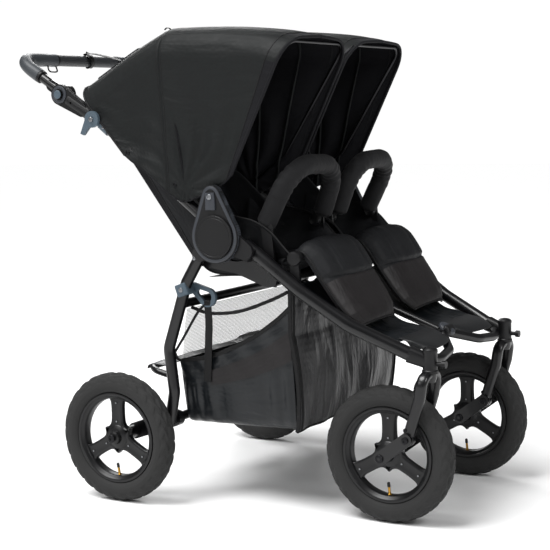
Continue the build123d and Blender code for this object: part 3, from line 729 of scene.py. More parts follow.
@dataclass
class FrameWork:
    """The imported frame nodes, dressed, with the small hardware on them."""

    hub: tuple[float, float] = (-37.0, 650.0)
    finishes: dict[str, Finish] = field(default_factory=lambda: {
        "frame_black": POWDER, "moulded_black": NYLON, "moulded_charcoal": NYLON_CHARCOAL,
        "moulded_slate": NYLON_SLATE, "pin_steel": BLACK_STEEL, "grip_foam": FOAM, "tyre_rubber": TYRE,
        "rim_nylon": WHEEL_NYLON, "canopy_cloth": CANOPY, "seat_cloth": SEAT, "coated_cloth": COATED})

    def dress(self) -> None:
        """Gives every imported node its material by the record's slot."""
        for part in frame["record"]["subparts"]:
            node = frame["nodes"][part["node"]]
            node.data.materials.clear()
            finish = NYLON if part["node"] == "hub_housings" else self.finishes[part["material_slot"]]
            node.data.materials.append(finish.material())

    def teardrop(self, grow: float, count: int = 96) -> Array:
        """The hub housing's outline: the tangent hull round two circles, as the farthest reach at each angle.

        Args:
            grow: How far outside the true outline.
            count: Points round it.

        Returns:
            Points (y, z) about the big circle's middle.
        """
        a = np.linspace(0, 2 * np.pi, count)
        top = np.array([7.0, 95.0])
        big, small = 62.0 + grow, 24.0 + grow
        far = np.linalg.norm(top)
        lean, half = math.atan2(top[1], top[0]), math.acos((big - small) / far)
        away = (a - lean + np.pi) % (2 * np.pi) - np.pi
        share = np.clip(1 - abs(away) / half, 0, 1)
        on_big = big * np.stack([np.cos(a), np.sin(a)], axis=1)
        tangent = big * np.stack([np.cos(lean + np.sign(away) * half), np.sin(lean + np.sign(away) * half)], axis=1)
        low = tangent + (top + small * tangent / big - tangent) * np.clip(share * 1.6, 0, 1)[:, None]
        body = np.where((share * 1.6 >= 1)[:, None], self.cap(top, small, lean, half, share, away), low)
        return np.where((share > 0)[:, None], body, on_big)

    def cap(self, top: Array, small: float, lean: float, half: float, share: Array, away: Array) -> Array:
        """The small circle's own arc, from one tangent point to the other.

        Args:
            top: The small circle's middle.
            small: Its radius.
            lean: The direction to it from the big circle.
            half: Half the angle between the tangent points.
            share: Nearness to the tip, from nought to one.
            away: The angle from the lean.

        Returns:
            The arc's points.
        """
        turn = lean + np.sign(away) * half * np.clip((1 - share) / 0.375, 0, 1)
        return top + small * np.stack([np.cos(turn), np.sin(turn)], axis=1)

    def housing(self, side: Side) -> None:
        """The teardrop cover, its round badge and raised tab.

        Args:
            side: The side it is on.
        """
        s = side.value
        centre = np.array([0.0, *self.hub])

        def level(x: float, grow: float) -> Array:
            """The outline at one depth."""
            flat = self.teardrop(grow)
            return centre + np.concatenate([np.full((len(flat), 1), s * x), flat], axis=1)

        plate = Shell(f"hub_cover_plate_{side.word}")
        steps = ((322.5, -62), (322.5, 0), (337, 0), (339.2, -0.8), (340.4, -2.6), (340.6, -9), (339.4, -10.5),
                 (339.4, -61.9))
        plate.grid(np.stack([level(x, g) for x, g in steps]))
        tab = smooth([(-30, 712), (-30, 730), (-29, 752)], 12)
        run = np.concatenate([np.full((12, 1), s * 341.5), tab], axis=1)
        shape = ring(1.0, 28, 0.4) * np.array([3.4, 13.0])
        plate.grid(carried(run, shape, (1, 0, 0), np.linspace(1.0, 0.9, 12)), ends=True)
        plate.make("chassis", [NYLON_CHARCOAL], "moulded_charcoal")
        badge = [(340, 0), (340, 50), (344.2, 50), (345.6, 48.6), (345.6, 45.5), (344.6, 44.6), (344.6, 43.4),
                 (345.4, 42.4), (345.4, 0)]
        Shell(f"hub_badge_{side.word}").grid(turned(badge, (0, *self.hub), (s, 0, 0), 72)).make(
            "chassis", [NYLON], "moulded_black", sharp=28)

    def screws(self, name: str, body: str, spots: list[tuple], finish: Finish = BLACK_STEEL) -> None:
        """Domed heads at the given places, as one piece.

        Args:
            name: The piece's name.
            body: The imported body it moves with.
            spots: Each (x, y, z, axis x sign or direction, radius, height).
            finish: Their metal.
        """
        heads = Shell(name)
        for x, y, z, axis, radius, height in spots:
            way = axis if isinstance(axis, tuple) else (axis, 0, 0)
            heads.grid(turned(button(radius, height), (x, y, z), way, 22))
        heads.make(body, [finish], "pin_steel", sharp=30)

    def caster(self, side: Side) -> None:
        """The swivel housing: a capped barrel, with a webbed neck back to the side tube.

        Args:
            side: The side it is on.
        """
        x = side.value * 232.0
        barrel = [(350, 0), (350, 18.5), (356, 18.5), (358, 16.6), (396, 16.6), (398, 17.6), (403, 17.0), (407, 13),
                  (408.5, 7), (408.5, 0)]
        made = Shell(f"caster_barrel_{side.word}").grid(turned(barrel, (x, -525, 0), (0, 0, 1), 44))
        neck = smooth([(x * 1.035, -478, 391), (x * 1.02, -495, 385), (x * 1.005, -512, 379), (x, -522, 377)], 20)
        made.grid(carried(neck, ring(1.0, 32, 0.7) * [15.0, 17.5], (1, 0, 0), np.linspace(1.08, 0.94, 20)), ends=True)
        made.make("chassis", [NYLON], "moulded_black", ("caster_housings",) if side is Side.RIGHT else ())

    def fork(self, side: Side) -> None:
        """The front fork: a flat-oval tube bent into an arch, with a round end at each link.

        Args:
            side: The side it is on.
        """
        x, word = side.value * 232.0, side.word
        line = bent([(x - 39, -487, 206), (x - 39, -516, 298), (x - 39, -523, 346), (x + 39, -523, 346),
                     (x + 39, -516, 298), (x + 39, -487, 206)], 22, 120)
        made = Shell(f"fork_arch_{word}").grid(carried(line, ring(1.0, 30, 0.8) * [13.0, 9.0], (0, 1, 0.12)), ends=True)
        made.grid(turned([(330, 0), (330, 13), (338, 16), (350, 16), (350, 0)], (x, -524, 0), (0, 0, 1), 36))
        for out in (-1, 1):
            drum = [(-8.4, 0), (-8.4, 14.5), (-7, 16), (7, 16), (8.4, 14.5), (8.4, 0)]
            made.grid(turned(drum, (x + out * 39, -487, 205), (out, 0, 0), 36))
        made.make(f"fork_{word}", [POWDER], "frame_black", (f"fork_{word}",))

    def build(self) -> None:
        """Dresses the nodes and adds the hardware."""
        self.dress()
        for side in Side:
            s, word = side.value, side.word
            self.housing(side)
            self.screws(f"hub_screws_{word}", "chassis", [
                (s * 344.6, -29, 742, s, 6.5, 2.4), (s * 326, -104, 634, s, 4, 2), (s * 311, -150, 594, s, 4.5, 2.2),
                (s * 285, -216, 600, s, 9, 2.5)], STEEL)
            knob = [(0, 0), (0, 17), (5, 17), (7.5, 15.5), (8.5, 12), (8.5, 0)]
            Shell(f"calf_knob_{word}").grid(turned(knob, (s * 284, -216, 600), (s, 0, 0), 40)).make(
                "chassis", [NYLON], "moulded_black")
            self.screws(f"leg_rivets_{word}", "rear_legs", [
                (s * 322, 72, 520, s, 5.5, 2.2), (s * 318.5, 34, 596, s, 4.5, 2), (s * 312, 113, 250, s, 4, 2)], STEEL)
            self.screws(f"lever_rivets_{word}", "upright", [
                (s * 331.5, 311, 925, s, 6.0, 2.2), (s * 317.5, 285, 905, s, 4.0, 2.0)], STEEL)
            x = s * 232.0
            arm = [(x + side_x * 56.5, y, z, side_x, r, 4.0) for side_x in (-1, 1)
                   for y, z, r in ((-487, 205, 8.0), (-424, 157.5, 9.5))]
            self.screws(f"front_arm_bolts_{word}", f"front_arm_{word}", arm)
            self.screws(f"fork_bolts_{word}", f"fork_{word}", [
                (x + side_x * 47, y, z, side_x, 4.5, 2.6) for side_x in (-1, 1) for y, z in ((-484, 226),)])
            self.screws(f"rear_axle_bolts_{word}", f"rear_arm_{word}", [(s * 380, 247, 157.5, s, 9.5, 4.5)])
            self.caster(side)
            self.fork(side)
        disc = [(0, 0), (0, 22), (4, 22), (8, 19), (10.5, 12), (11.5, 0)]
        Shell("middle_joint_boss").grid(turned(disc, (0, -466, 411), (0, -0.55, 0.84), 44)).make(
            "chassis", [NYLON_CHARCOAL], "moulded_black")


# ------------------------------------------------------------------------------ canopies


@dataclass
class Canopy:
    """One curved cloth hood in two sewn bays, with its hem, piping, flap and lining."""

    side: Side
    outer: float = 319.0
    inner: float = 7.5
    corner: float = 66.0
    pivot: tuple[float, float] = (54.0, 757.0)
    seam: float = 0.56
    crown: list = field(default_factory=lambda: [(-226, 1096), (-172, 1113), (-120, 1123), (-50, 1131), (20, 1134),
                                                 (80, 1133), (118, 1129), (182, 1107), (246, 1077), (306, 1041),
                                                 (364, 1003)])
    hem: list = field(default_factory=lambda: [(-74, 790), (-52, 772), (-18, 756), (24, 738), (66, 730), (118, 762),
                                               (170, 800), (222, 838)])

    def section(self, u: Array) -> tuple[Array, Array, Array]:
        """Where a point lies across the hood.

        From nought to one, u runs up the outer side, round a quarter circle, over the crown, round
        the other corner and down the inner side.

        Args:
            u: Place across the hood.

        Returns:
            Distance from the hood's middle, share of the corner's drop, share of the side's drop.
        """
        half = (self.outer - self.inner) / 2
        turn = np.linspace(0, np.pi / 2, 12)
        arc = np.linspace(0.36, 0.44, 12)
        marks = np.concatenate([[0.0], arc, 1 - arc[::-1], [1.0]])
        bend = half - self.corner * (1 - np.cos(turn))
        where = np.concatenate([[half], bend, -bend[::-1], [-half]])
        drop = np.concatenate([[1.0], 1 - np.sin(turn), (1 - np.sin(turn))[::-1], [1.0]])
        side = np.concatenate([[1.0], np.zeros(24), [1.0]])
        return np.interp(u, marks, where), np.interp(u, marks, drop), np.interp(u, marks, side)

    def at(self, u: Array, v: Array, lift: float = 0.0) -> Array:
        """Points of the cloth.

        The crown line and the hem line are read at v, front to back, and the point lies between them by
        its drop. Each bay sags inwards by a parabola between its hoops, and folds fan out from the hinge
        as a sine of the angle about it.

        Args:
            u: Place across, nought at the outer hem.
            v: Place along, nought at the front.
            lift: How far outside the cloth.

        Returns:
            The points, with the last axis X, Y, Z.
        """
        u, v = np.broadcast_arrays(np.asarray(u, float), np.asarray(v, float))
        tops, hems = smooth(self.crown, 120), smooth(self.hem, 120)
        grid = np.linspace(0, 1, 120)
        top = np.stack([np.interp(v, grid, tops[:, k]) for k in (0, 1)], axis=-1)
        low = np.stack([np.interp(v, grid, hems[:, k]) for k in (0, 1)], axis=-1)
        x, drop, side = self.section(u)
        half = (self.outer - self.inner) / 2
        long = np.linalg.norm(low - top, axis=-1)
        bay = np.where(v < self.seam, v / self.seam, (v - self.seam) / (1 - self.seam))
        sag = 4 * bay * (1 - bay) * np.where(v < self.seam, 6.0, 8.0)
        down = self.corner * drop + (long - self.corner) * side - 6.5 * np.cos(np.pi * x / 2 / half) ** 2
        down = down + sag * (1 - side) - lift * (1 - drop)
        flat = top + (low - top) * (down / long)[..., None]
        y, z = flat[..., 0] - self.pivot[0], flat[..., 1] - self.pivot[1]
        angle, reach = np.arctan2(z, -y), np.hypot(y, z)
        fan = np.sin(11 * angle + 1.8 * np.sin(reach / 55)) * np.exp(-((reach - 130) / 120) ** 2)
        pull = np.sin(0.045 * reach + 5 * angle) * np.exp(-((v - 0.8) / 0.16) ** 2)
        edge = np.clip(np.minimum(v, 1 - v) * 9, 0, 1) * np.clip(abs(v - self.seam) * 14, 0, 1)
        corner_y, corner_z = flat[..., 0] - 352, flat[..., 1] - 985
        ray = np.arctan2(corner_z, -corner_y)
        tuck = 5.0 * np.sin(16 * ray) * np.exp(-(np.hypot(corner_y, corner_z) / 150) ** 2)
        inwards = side ** 0.5 * (edge * tuck + sag * 0.9 * np.sin(np.pi * np.clip(side, 0, 1) ** 0.8)
                                 + edge * (4.5 * fan + 4.0 * pull + 2.0))
        x = np.sign(x) * (abs(x) - inwards + lift * np.clip(drop, 0, 1))
        return np.stack([self.side.value * ((self.outer + self.inner) / 2 + x), flat[..., 0], flat[..., 1]], axis=-1)

    def patch(self, u0: float, u1: float, v0: float, v1: float, lift: float, nu: int, nv: int) -> Array:
        """A grid of the cloth between two places each way."""
        return self.at(np.linspace(u0, u1, nu)[None, :], np.linspace(v0, v1, nv)[:, None], lift)

    def piping(self, shell: Shell, line: Array, radius: float, across: tuple, slot: int = 0) -> None:
        """Adds a corded edge: a round section carried along a line of points."""
        shell.grid(carried(evenly(line, max(24, len(line))), ring(radius, 11), across), slot=slot, ends=True)

    def build(self) -> None:
        """Makes both bays, their trims and the flap."""
        s, word = self.side.value, self.side.word
        over = np.linspace(0, 1, 150)
        front = Shell(f"canopy_front_bay_{word}")
        sheet = self.patch(0, 1, 0, self.seam, 0, 150, 60)
        front.grid(sheet, flip=s > 0)
        piece = front.make(f"canopy_bow_{word}", [CANOPY, LINING], "canopy_cloth", closed=False, wall=1.4, sharp=60)
        self.bend(piece)
        trim = Shell(f"canopy_front_trim_{word}")
        trim.grid(self.patch(0, 1, 0.0, 0.05, 1.5, 150, 6), flip=s > 0)
        self.piping(trim, self.at(over, np.full(150, 0.0)), 3.6, (1, 0, 0))
        self.piping(trim, self.at(over, np.full(150, 0.052), 1.2), 1.5, (1, 0, 0), slot=2)
        along = np.linspace(0, self.seam, 70)
        for u in (0.0, 1.0):
            self.piping(trim, self.at(np.full(70, u), along), 2.2, (1, 0, 0))
        for v in (0.2, 0.38):
            self.piping(trim, self.at(over, np.full(150, v), -3.5), 3.2, (1, 0, 0), slot=1)
        piece = trim.make(f"canopy_bow_{word}", [CANOPY, LINING, WEBBING], "canopy_cloth", closed=False, wall=0.0,
                          sharp=60)
        self.bend(piece)
        rear = Shell(f"canopy_rear_bay_{word}")
        sheet = self.patch(0, 1, self.seam, 1, 0, 150, 52)
        rear.grid(sheet, flip=s > 0)
        piece = rear.make("upright", [CANOPY, LINING], "canopy_cloth", (f"canopy_{word}",), closed=False, wall=1.4,
                          sharp=60)
        self.fold(piece)
        trim = Shell(f"canopy_rear_trim_{word}")
        trim.grid(self.patch(0, 1, self.seam - 0.010, self.seam + 0.012, 1.3, 150, 5), flip=s > 0)
        for v, radius in ((self.seam - 0.011, 1.1), (self.seam + 0.013, 1.1), (1.0, 3.0)):
            self.piping(trim, self.at(over, np.full(150, v), 1.0), radius, (1, 0, 0), slot=1)
        self.piping(trim, self.at(over, np.full(150, self.seam + 0.03), -4.5), 4.5, (1, 0, 0))
        along = np.linspace(self.seam, 1, 70)
        for u in (0.0, 1.0):
            self.piping(trim, self.at(np.full(70, u), along), 2.2, (1, 0, 0))
        flap = self.patch(0.43, 0.57, 0.72, 0.94, 3.2, 40, 24)
        trim.grid(flap, flip=s > 0)
        rim = np.concatenate([flap[0], flap[1:, -1], flap[-1, -2::-1], flap[-2::-1, 0]])
        self.piping(trim, rim, 2.0, (0.2, 0.3, 1))
        piece = trim.make("upright", [CANOPY, WEBBING], "canopy_cloth", closed=False, wall=0.0, sharp=60)
        self.fold(piece)
        self.hardware()
        self.back_panel()

    def bend(self, piece: bpy.types.Object) -> None:
        """Takes the cloth off its body and bakes its place into the mesh.

        Args:
            piece: The front bay's cloth.
        """
        piece.parent = None
        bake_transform(piece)

    def fold(self, piece: bpy.types.Object) -> None:
        """Gives the cloth its own copy of its mesh."""
        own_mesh(piece)

    def hardware(self) -> None:
        """Snaps on the outer side, the zip pull on the ridge and the one under the hem."""
        s, word = self.side.value, self.side.word
        spots = Shell(f"canopy_snaps_{word}")
        for u, v in ((0.035, 0.50), (0.05, 0.93)):
            p = self.at(np.array(u), np.array(v), 0.8)
            spots.grid(turned(button(5.5, 2.6), p, (s, 0, 0), 22))
        ridge = self.at(np.array(0.45), np.array(self.seam + 0.02), 1.5)
        pull = smooth([ridge + [0, 0, 0], ridge + [0, 4, 7], ridge + [0, 13, 9], ridge + [0, 19, 5]], 16)
        spots.grid(carried(pull, ring(1.0, 12, 0.6) * [2.6, 1.2], (1, 0, 0)), ends=True)
        spots.make("upright", [BLACK_STEEL], "pin_steel", sharp=30)

    def back_panel(self) -> None:
        """The cloth that hangs from the hood's rear edge to behind the seat back's top."""
        s, word = self.side.value, self.side.word
        drop = smooth([(356, 1002), (330, 962), (292, 916), (262, 872), (250, 846)], 40)
        x = np.linspace(22, 296, 50)
        ripple = 2.5 * np.sin(x / 17)[None, :] * np.linspace(0, 1, 40)[:, None]
        grid = np.stack(np.broadcast_arrays(s * x[None, :], drop[:, :1] - ripple - 3, drop[:, 1:]), axis=-1)
        panel = Shell(f"canopy_back_panel_{word}").grid(grid)
        piece = panel.make("upright", [CANOPY, LINING], "canopy_cloth", closed=False, wall=1.2, sharp=60)
        self.fold(piece)


# ------------------------------------------------------------------------------ seats


def lofted_pad(path: Array, half: Array, thick: Array, x: float, rows: int, round_count: int = 64,
               power: float = 0.5) -> tuple[Array, Array, Array]:
    """A pad: a squared ring across X carried along a (y, z) line, shrinking to nothing at both ends.

    Args:
        path: Control points (y, z) of the pad's middle line.
        half: Half width at even stations.
        thick: Half thickness at even stations.
        x: The pad's middle across the stroller.
        rows: Stations along the pad.
        round_count: Points round each station.
        power: How square each station is.

    Returns:
        The grid, the place along from nought to one, and the place across from minus one to one.
    """
    line = smooth(path, rows)
    t = np.linspace(0, 1, rows)
    w = np.interp(t, np.linspace(0, 1, len(half)), half)
    h = np.interp(t, np.linspace(0, 1, len(thick)), thick)
    close = np.clip(1 - abs(2 * t - 1) ** 14, 0, 1) ** 0.5
    shape = ring(1.0, round_count, power)
    shape[:, 1] = np.sign(shape[:, 1]) * abs(shape[:, 1]) * (1 - 0.25 * shape[:, 0] ** 4)
    along = unit(np.gradient(line, axis=0))
    out = np.stack([along[:, 1], -along[:, 0]], axis=1)
    across = (w * (0.93 + 0.07 * close))[:, None] * shape[:, 0]
    proud = (h * close)[:, None] * shape[:, 1]
    yz = line[:, None] + proud[..., None] * out[:, None]
    grid = np.concatenate([(x + across)[..., None], yz], axis=-1)
    return grid, t[:, None] * np.ones_like(across), across / np.maximum(w, 1e-6)[:, None]


@dataclass
class Seat:
    """One rider's seat: base, back with side wings, harness, bumper bar, calf rest and foot panel."""

    side: Side
    middle: float = 150.0

    def x(self, value: float) -> float:
        """A distance from the stroller's middle, on this side."""
        return self.side.value * value

    def back(self) -> None:
        """The reclining back: quilted front, with wings that curl forwards, and its webbing."""
        word = self.side.word
        grid, t, a = lofted_pad([(52, 598), (116, 686), (180, 774), (244, 862)], [112, 116, 116, 112, 98],
                                [13, 15, 15, 15, 13], self.x(self.middle), 72)
        lean = np.array([0.0, -0.809, 0.588])
        front = np.clip(((grid - grid.mean(axis=1, keepdims=True)) @ lean) / 14, 0, 1)
        channel = np.exp(-((t * 5 % 1 - 0.5) / 0.06) ** 2)
        grid = grid + (abs(a) ** 5 * 16 * (1 - 0.5 * t) - front * channel * 5.0)[..., None] * lean
        piece = Shell(f"seat_back_pad_{word}").grid(grid, ends=True).make(
            f"seat_back_{word}", [SEAT], "seat_cloth", (f"seat_back_{word}",), sharp=70)
        inflate(piece, 5.0)
        straps = Shell(f"harness_{word}")
        for x0 in (-42, 42):
            line = smooth([(x0 * 0.8, 236, 842), (x0, 196, 800), (x0 * 1.05, 130, 712), (x0 * 1.2, 92, 655),
                           (x0 * 0.6, 40, 618)], 60)
            line[:, 0] += self.x(self.middle)
            line = line + lean * 19
            straps.grid(carried(line, ring(1.0, 20, 0.3) * [13, 1.0], (1, 0, 0)), ends=True)
            pad = line[8:34] + lean * 2
            straps.grid(carried(pad, ring(1.0, 28, 0.5) * [20, 4.5], (1, 0, 0),
                                np.clip(1 - abs(np.linspace(-1, 1, 26)) ** 8, 0.1, 1) ** 0.5), slot=1, ends=True)
        buckle = [(0, 0), (0, 19), (6, 19), (9, 15), (10, 0)]
        straps.grid(turned(buckle, (self.x(self.middle), 28, 622), (0, -0.5, 0.86), 36), slot=2)
        straps.make(f"seat_back_{word}", [WEBBING, SLEEVE, NYLON], "seat_cloth", sharp=50)

    def shell(self) -> None:
        """Cloth behind and beside the seat, from the uprights down to the hinge rod."""
        word, s = self.side.word, self.side.value
        edge = smooth([(226, 838), (196, 800), (150, 734), (104, 668), (66, 612), (26, 566), (-30, 556),
                       (-96, 560)], 60)
        upper = smooth([(240, 900), (186, 850), (128, 806), (76, 780), (30, 738), (-16, 690), (-58, 648),
                        (-100, 620)], 60)
        w = np.linspace(0, 1, 20)[None, :, None]
        yz = edge[:, None] * (1 - w) + upper[:, None] * w
        bulge = 5 * np.sin(np.pi * w[..., 0]) + 1.5 * np.sin(np.linspace(0, 22, 60))[:, None] * w[..., 0]
        grid = np.concatenate([(s * (272 + bulge))[..., None], yz], axis=-1)
        panel = Shell(f"seat_side_cloth_{word}").grid(grid, flip=s < 0)
        piece = panel.make("back_hinge", [SEAT], "seat_cloth", closed=False, wall=1.2, sharp=60)
        grid = np.concatenate([(s * (29 - bulge))[..., None], yz], axis=-1)
        piece = Shell(f"seat_inner_cloth_{word}").grid(grid, flip=s > 0).make(
            "back_hinge", [SEAT], "seat_cloth", closed=False, wall=1.2, sharp=60)
        line = np.concatenate([np.full((60, 1), s * 272.0), edge], axis=1)
        Shell(f"seat_side_zip_{word}").grid(carried(line, ring(2.4, 10), (1, 0, 0)), ends=True).make(
            "back_hinge", [WEBBING], "seat_cloth")

    def wings(self) -> None:
        """Cloth from the seat's edges up to the hub, the side tube and the middle of the frame."""
        word, s = self.side.word, self.side.value
        top = smooth([(60, 748), (24, 722), (-14, 704), (-60, 694), (-110, 684), (-152, 662), (-186, 628),
                      (-208, 606)], 60)
        low = smooth([(56, 594), (0, 588), (-60, 584), (-120, 588), (-170, 592), (-212, 594)], 60)
        w = np.linspace(0, 1, 18)[None, :]
        t = np.linspace(0, 1, 60)[:, None]
        folds = 3.0 * np.sin(26 * t + 4 * w) * np.sin(np.pi * w)
        for name, foot, head in (("outer", 256, 285), ("inner", 42, 17)):
            x = head + (foot - head) * w ** 0.7 + folds + 0 * t
            yz = top[:, None] * (1 - w[..., None]) + low[:, None] * w[..., None]
            yz[..., 1] += 4 * np.sin(np.pi * w)
            grid = np.concatenate([(s * x)[..., None], yz], axis=-1)
            piece = Shell(f"seat_wing_{name}_{word}").grid(grid, flip=(s > 0) == (name == "outer")).make(
                "chassis", [SEAT], "seat_cloth", closed=False, wall=1.6, sharp=60)
            edge = Shell(f"seat_wing_piping_{name}_{word}").grid(
                carried(grid[:, 0], ring(2.2, 10), (1, 0, 0)), ends=True)
            edge.make("chassis", [WEBBING], "seat_cloth")
        x = np.linspace(24, 276, 60)[None, :]
        drop = smooth([(-186, 598), (-180, 590), (-170, 574), (-154, 558), (-126, 549), (-60, 552), (20, 548)], 50)
        rip = 2.5 * np.sin(x / 13) * np.sin(np.pi * np.linspace(0, 1, 50))[:, None]
        grid = np.stack(np.broadcast_arrays(s * x, drop[:, :1], drop[:, 1:] + rip), axis=-1)
        piece = Shell(f"seat_underside_{word}").grid(grid, flip=s < 0).make(
            "chassis", [SEAT], "seat_cloth", closed=False, wall=1.2, sharp=60)

    def base(self) -> None:
        """The seat's bottom, softly crowned, with the crotch strap."""
        word = self.side.word
        grid, t, a = lofted_pad([(10, 566), (-60, 574), (-130, 582), (-198, 594)], [112, 118, 120, 118],
                                [14, 15, 15, 13], self.x(self.middle), 44)
        grid[..., 2] += 3 * np.cos(np.pi * a / 2) * np.sin(np.pi * t)
        piece = Shell(f"seat_pad_{word}").grid(grid, ends=True).make(
            "chassis", [SEAT], "seat_cloth", (f"seat_base_{word}",), sharp=70)
        inflate(piece, 4.0)
        line = smooth([(-150, 598), (-96, 604), (-40, 610), (-2, 620)], 30)
        line = np.concatenate([np.full((30, 1), self.x(self.middle)), line], axis=1)
        Shell(f"crotch_strap_{word}").grid(carried(line, ring(1.0, 20, 0.3) * [19, 1.1], (1, 0, 0)), ends=True).make(
            "chassis", [WEBBING], "seat_cloth", sharp=50)

    def calf(self) -> None:
        """The calf rest: a gathered band over a smooth rounded apron, piped all round."""
        word = self.side.word
        grid, t, a = lofted_pad([(-202, 604), (-220, 619), (-250, 610), (-288, 560), (-326, 506), (-368, 450)],
                                [112, 120, 123, 124, 124, 123, 120, 112, 84], [9, 17, 20, 19, 18, 17, 17, 15, 9],
                                self.x(146), 110, 120)
        centre = grid.mean(axis=1, keepdims=True)
        out = unit(np.stack([np.zeros(110), *(-np.gradient(centre[:, 0, 2]), np.gradient(centre[:, 0, 1]))], axis=1))
        out *= np.sign(out[:, 2:3] - out[:, 1:2])
        front = np.clip(((grid - centre) * out[:, None]).sum(axis=-1) / 14, 0, 1)
        border = 0.47 + 0.05 * (1 - a ** 2)
        band = 1 / (1 + np.exp((t - border) * 60))
        groove = np.exp(-((t - border) / 0.016) ** 2)
        pleats = abs(np.sin(a * 11 + 1.2 * np.sin(a * 5) + t * 1.5)) * np.clip(t * 6, 0, 1)
        gathers = abs(np.sin(a * 12 + 0.8 * np.sin(4 * a))) * np.clip((t - 0.80) * 5, 0, 1)
        soft = 1.6 * np.sin(3.2 * a + 7 * t) * (1 - band)
        lift = front * (band * (3.0 + 4.6 * pleats ** 0.6) - 5.0 * groove
                        + (1 - band) * (4.2 * gathers ** 0.7 + soft))
        droop = 15 * abs(a) ** 3 * np.clip(t * 5, 0, 1)
        grid = grid + (lift - droop)[..., None] * out[:, None]
        pad = Shell(f"calf_pad_{word}")
        pad.grid(grid[:58], slot=0).grid(grid[57:], slot=1)
        piece = pad.make(f"calf_rest_{word}", [SEAT, CALF], "seat_cloth", (f"calf_rest_{word}",), sharp=75)
        cord = Shell(f"calf_piping_{word}")
        for column in (0, 59):
            cord.grid(carried(evenly(grid[6:-1, column], 80), ring(3.0, 10), (0.2, 0.5, 0.8)), ends=True)
        end = grid[-2, :60]
        cord.grid(carried(evenly(end, 30), ring(3.0, 10), (0.0, 0.7, 0.7)), ends=True)
        cord.make(f"calf_rest_{word}", [WEBBING], "seat_cloth")

    def foot(self) -> None:
        """The coated sheet down to the toes, with the rubberised guard over the front tube."""
        word, s = self.side.word, self.side.value
        down = smooth([(-214, 540), (-280, 487), (-350, 434), (-400, 422), (-446, 414)], 46)
        t = np.linspace(0, 1, 46)
        wide = np.interp(t, [0, 0.55, 0.8, 1], [258, 250, 236, 214])
        a = np.linspace(0, 1, 44)[None, :]
        x = 20 + (wide[:, None] - 20) * a
        dip = -7 * np.sin(np.pi * a) * np.sin(np.pi * t)[:, None]
        wave = 2.0 * np.sin(9 * a + 4 * t[:, None]) * np.sin(np.pi * t)[:, None]
        grid = np.stack(np.broadcast_arrays(s * x, down[:, :1], down[:, 1:] + dip + wave), axis=-1)
        piece = Shell(f"foot_sheet_{word}").grid(grid, flip=s < 0).make(
            "chassis", [COATED_DARK], "coated_cloth", (f"foot_panel_{word}",), closed=False, wall=1.4, sharp=60)
        a = np.linspace(0, 1, 40)[None, :]
        t = np.linspace(0, 1, 30)[:, None]
        left, right = 34.0, 204.0
        x = left + (right - left) * a
        round_off = np.sqrt(np.clip(1 - (2 * a - 1) ** 4, 0, 1))
        y = -436 - (64 + 22 * a) * t * (0.35 + 0.65 * round_off)
        z = 419 - 7 * t - 16 * t ** 4
        guard = np.stack(np.broadcast_arrays(s * x, y, z), axis=-1)
        Shell(f"toe_guard_{word}").grid(guard, flip=s < 0).make(
            "chassis", [GUARD], "coated_cloth", closed=False, wall=3.0, bevel=0.8, sharp=60)

    def bumper(self) -> None:
        """The padded bar: a gathered sleeve on a tube, with its two hinge blocks."""
        word = self.side.word
        corners = [(self.x(265), -130, 672), (self.x(262), -204, 812), (self.x(44), -206, 806),
                   (self.x(40), -158, 680)]
        path = bent(corners, 80, 170)
        a = np.linspace(0, 2 * np.pi, 29)[None, :]
        t = np.linspace(0, 1, 170)[:, None]
        turn = np.exp(-((t - 0.27) / 0.09) ** 2) + np.exp(-((t - 0.73) / 0.09) ** 2)
        radius = 23.4 + 0.5 * np.sin(70 * t + 2 * np.sin(3 * a)) * (0.3 + turn) + 0.9 * turn * np.sin(46 * np.pi * t)
        radius = radius * np.clip(1 - np.clip(abs(2 * t - 1) - 0.95, 0, 1) ** 2 * 200, 0.6, 1)
        shape = np.stack([radius * np.cos(a), radius * np.sin(a)], axis=-1)
        bar = Shell(f"bumper_sleeve_{word}").grid(carried(path, shape, (0, -60, 120)), ends=True)
        for x in (265, 40):
            leg = evenly(np.array([(self.x(x), -140, 670), (self.x(x), -156, 702)], float), 6)
            bar.grid(carried(leg, ring(1.0, 24, 0.6) * [9.0, 12.0], (1, 0, 0)), slot=1, ends=True)
            drum = [(-8.2, 0), (-8.2, 12), (-7, 13.4), (7, 13.4), (8.2, 12), (8.2, 0)]
            bar.grid(turned(drum, (self.x(x), -140, 670), (1, 0, 0), 36), slot=1)
        piece = bar.make(f"bumper_bar_{word}", [SLEEVE, NYLON], "seat_cloth", (f"bumper_bar_{word}",), sharp=60)

    def build(self) -> None:
        """Makes every soft part of this seat."""
        for make in (self.base, self.wings, self.back, self.shell, self.calf, self.foot, self.bumper):
            make()


# ------------------------------------------------------------------------------ basket


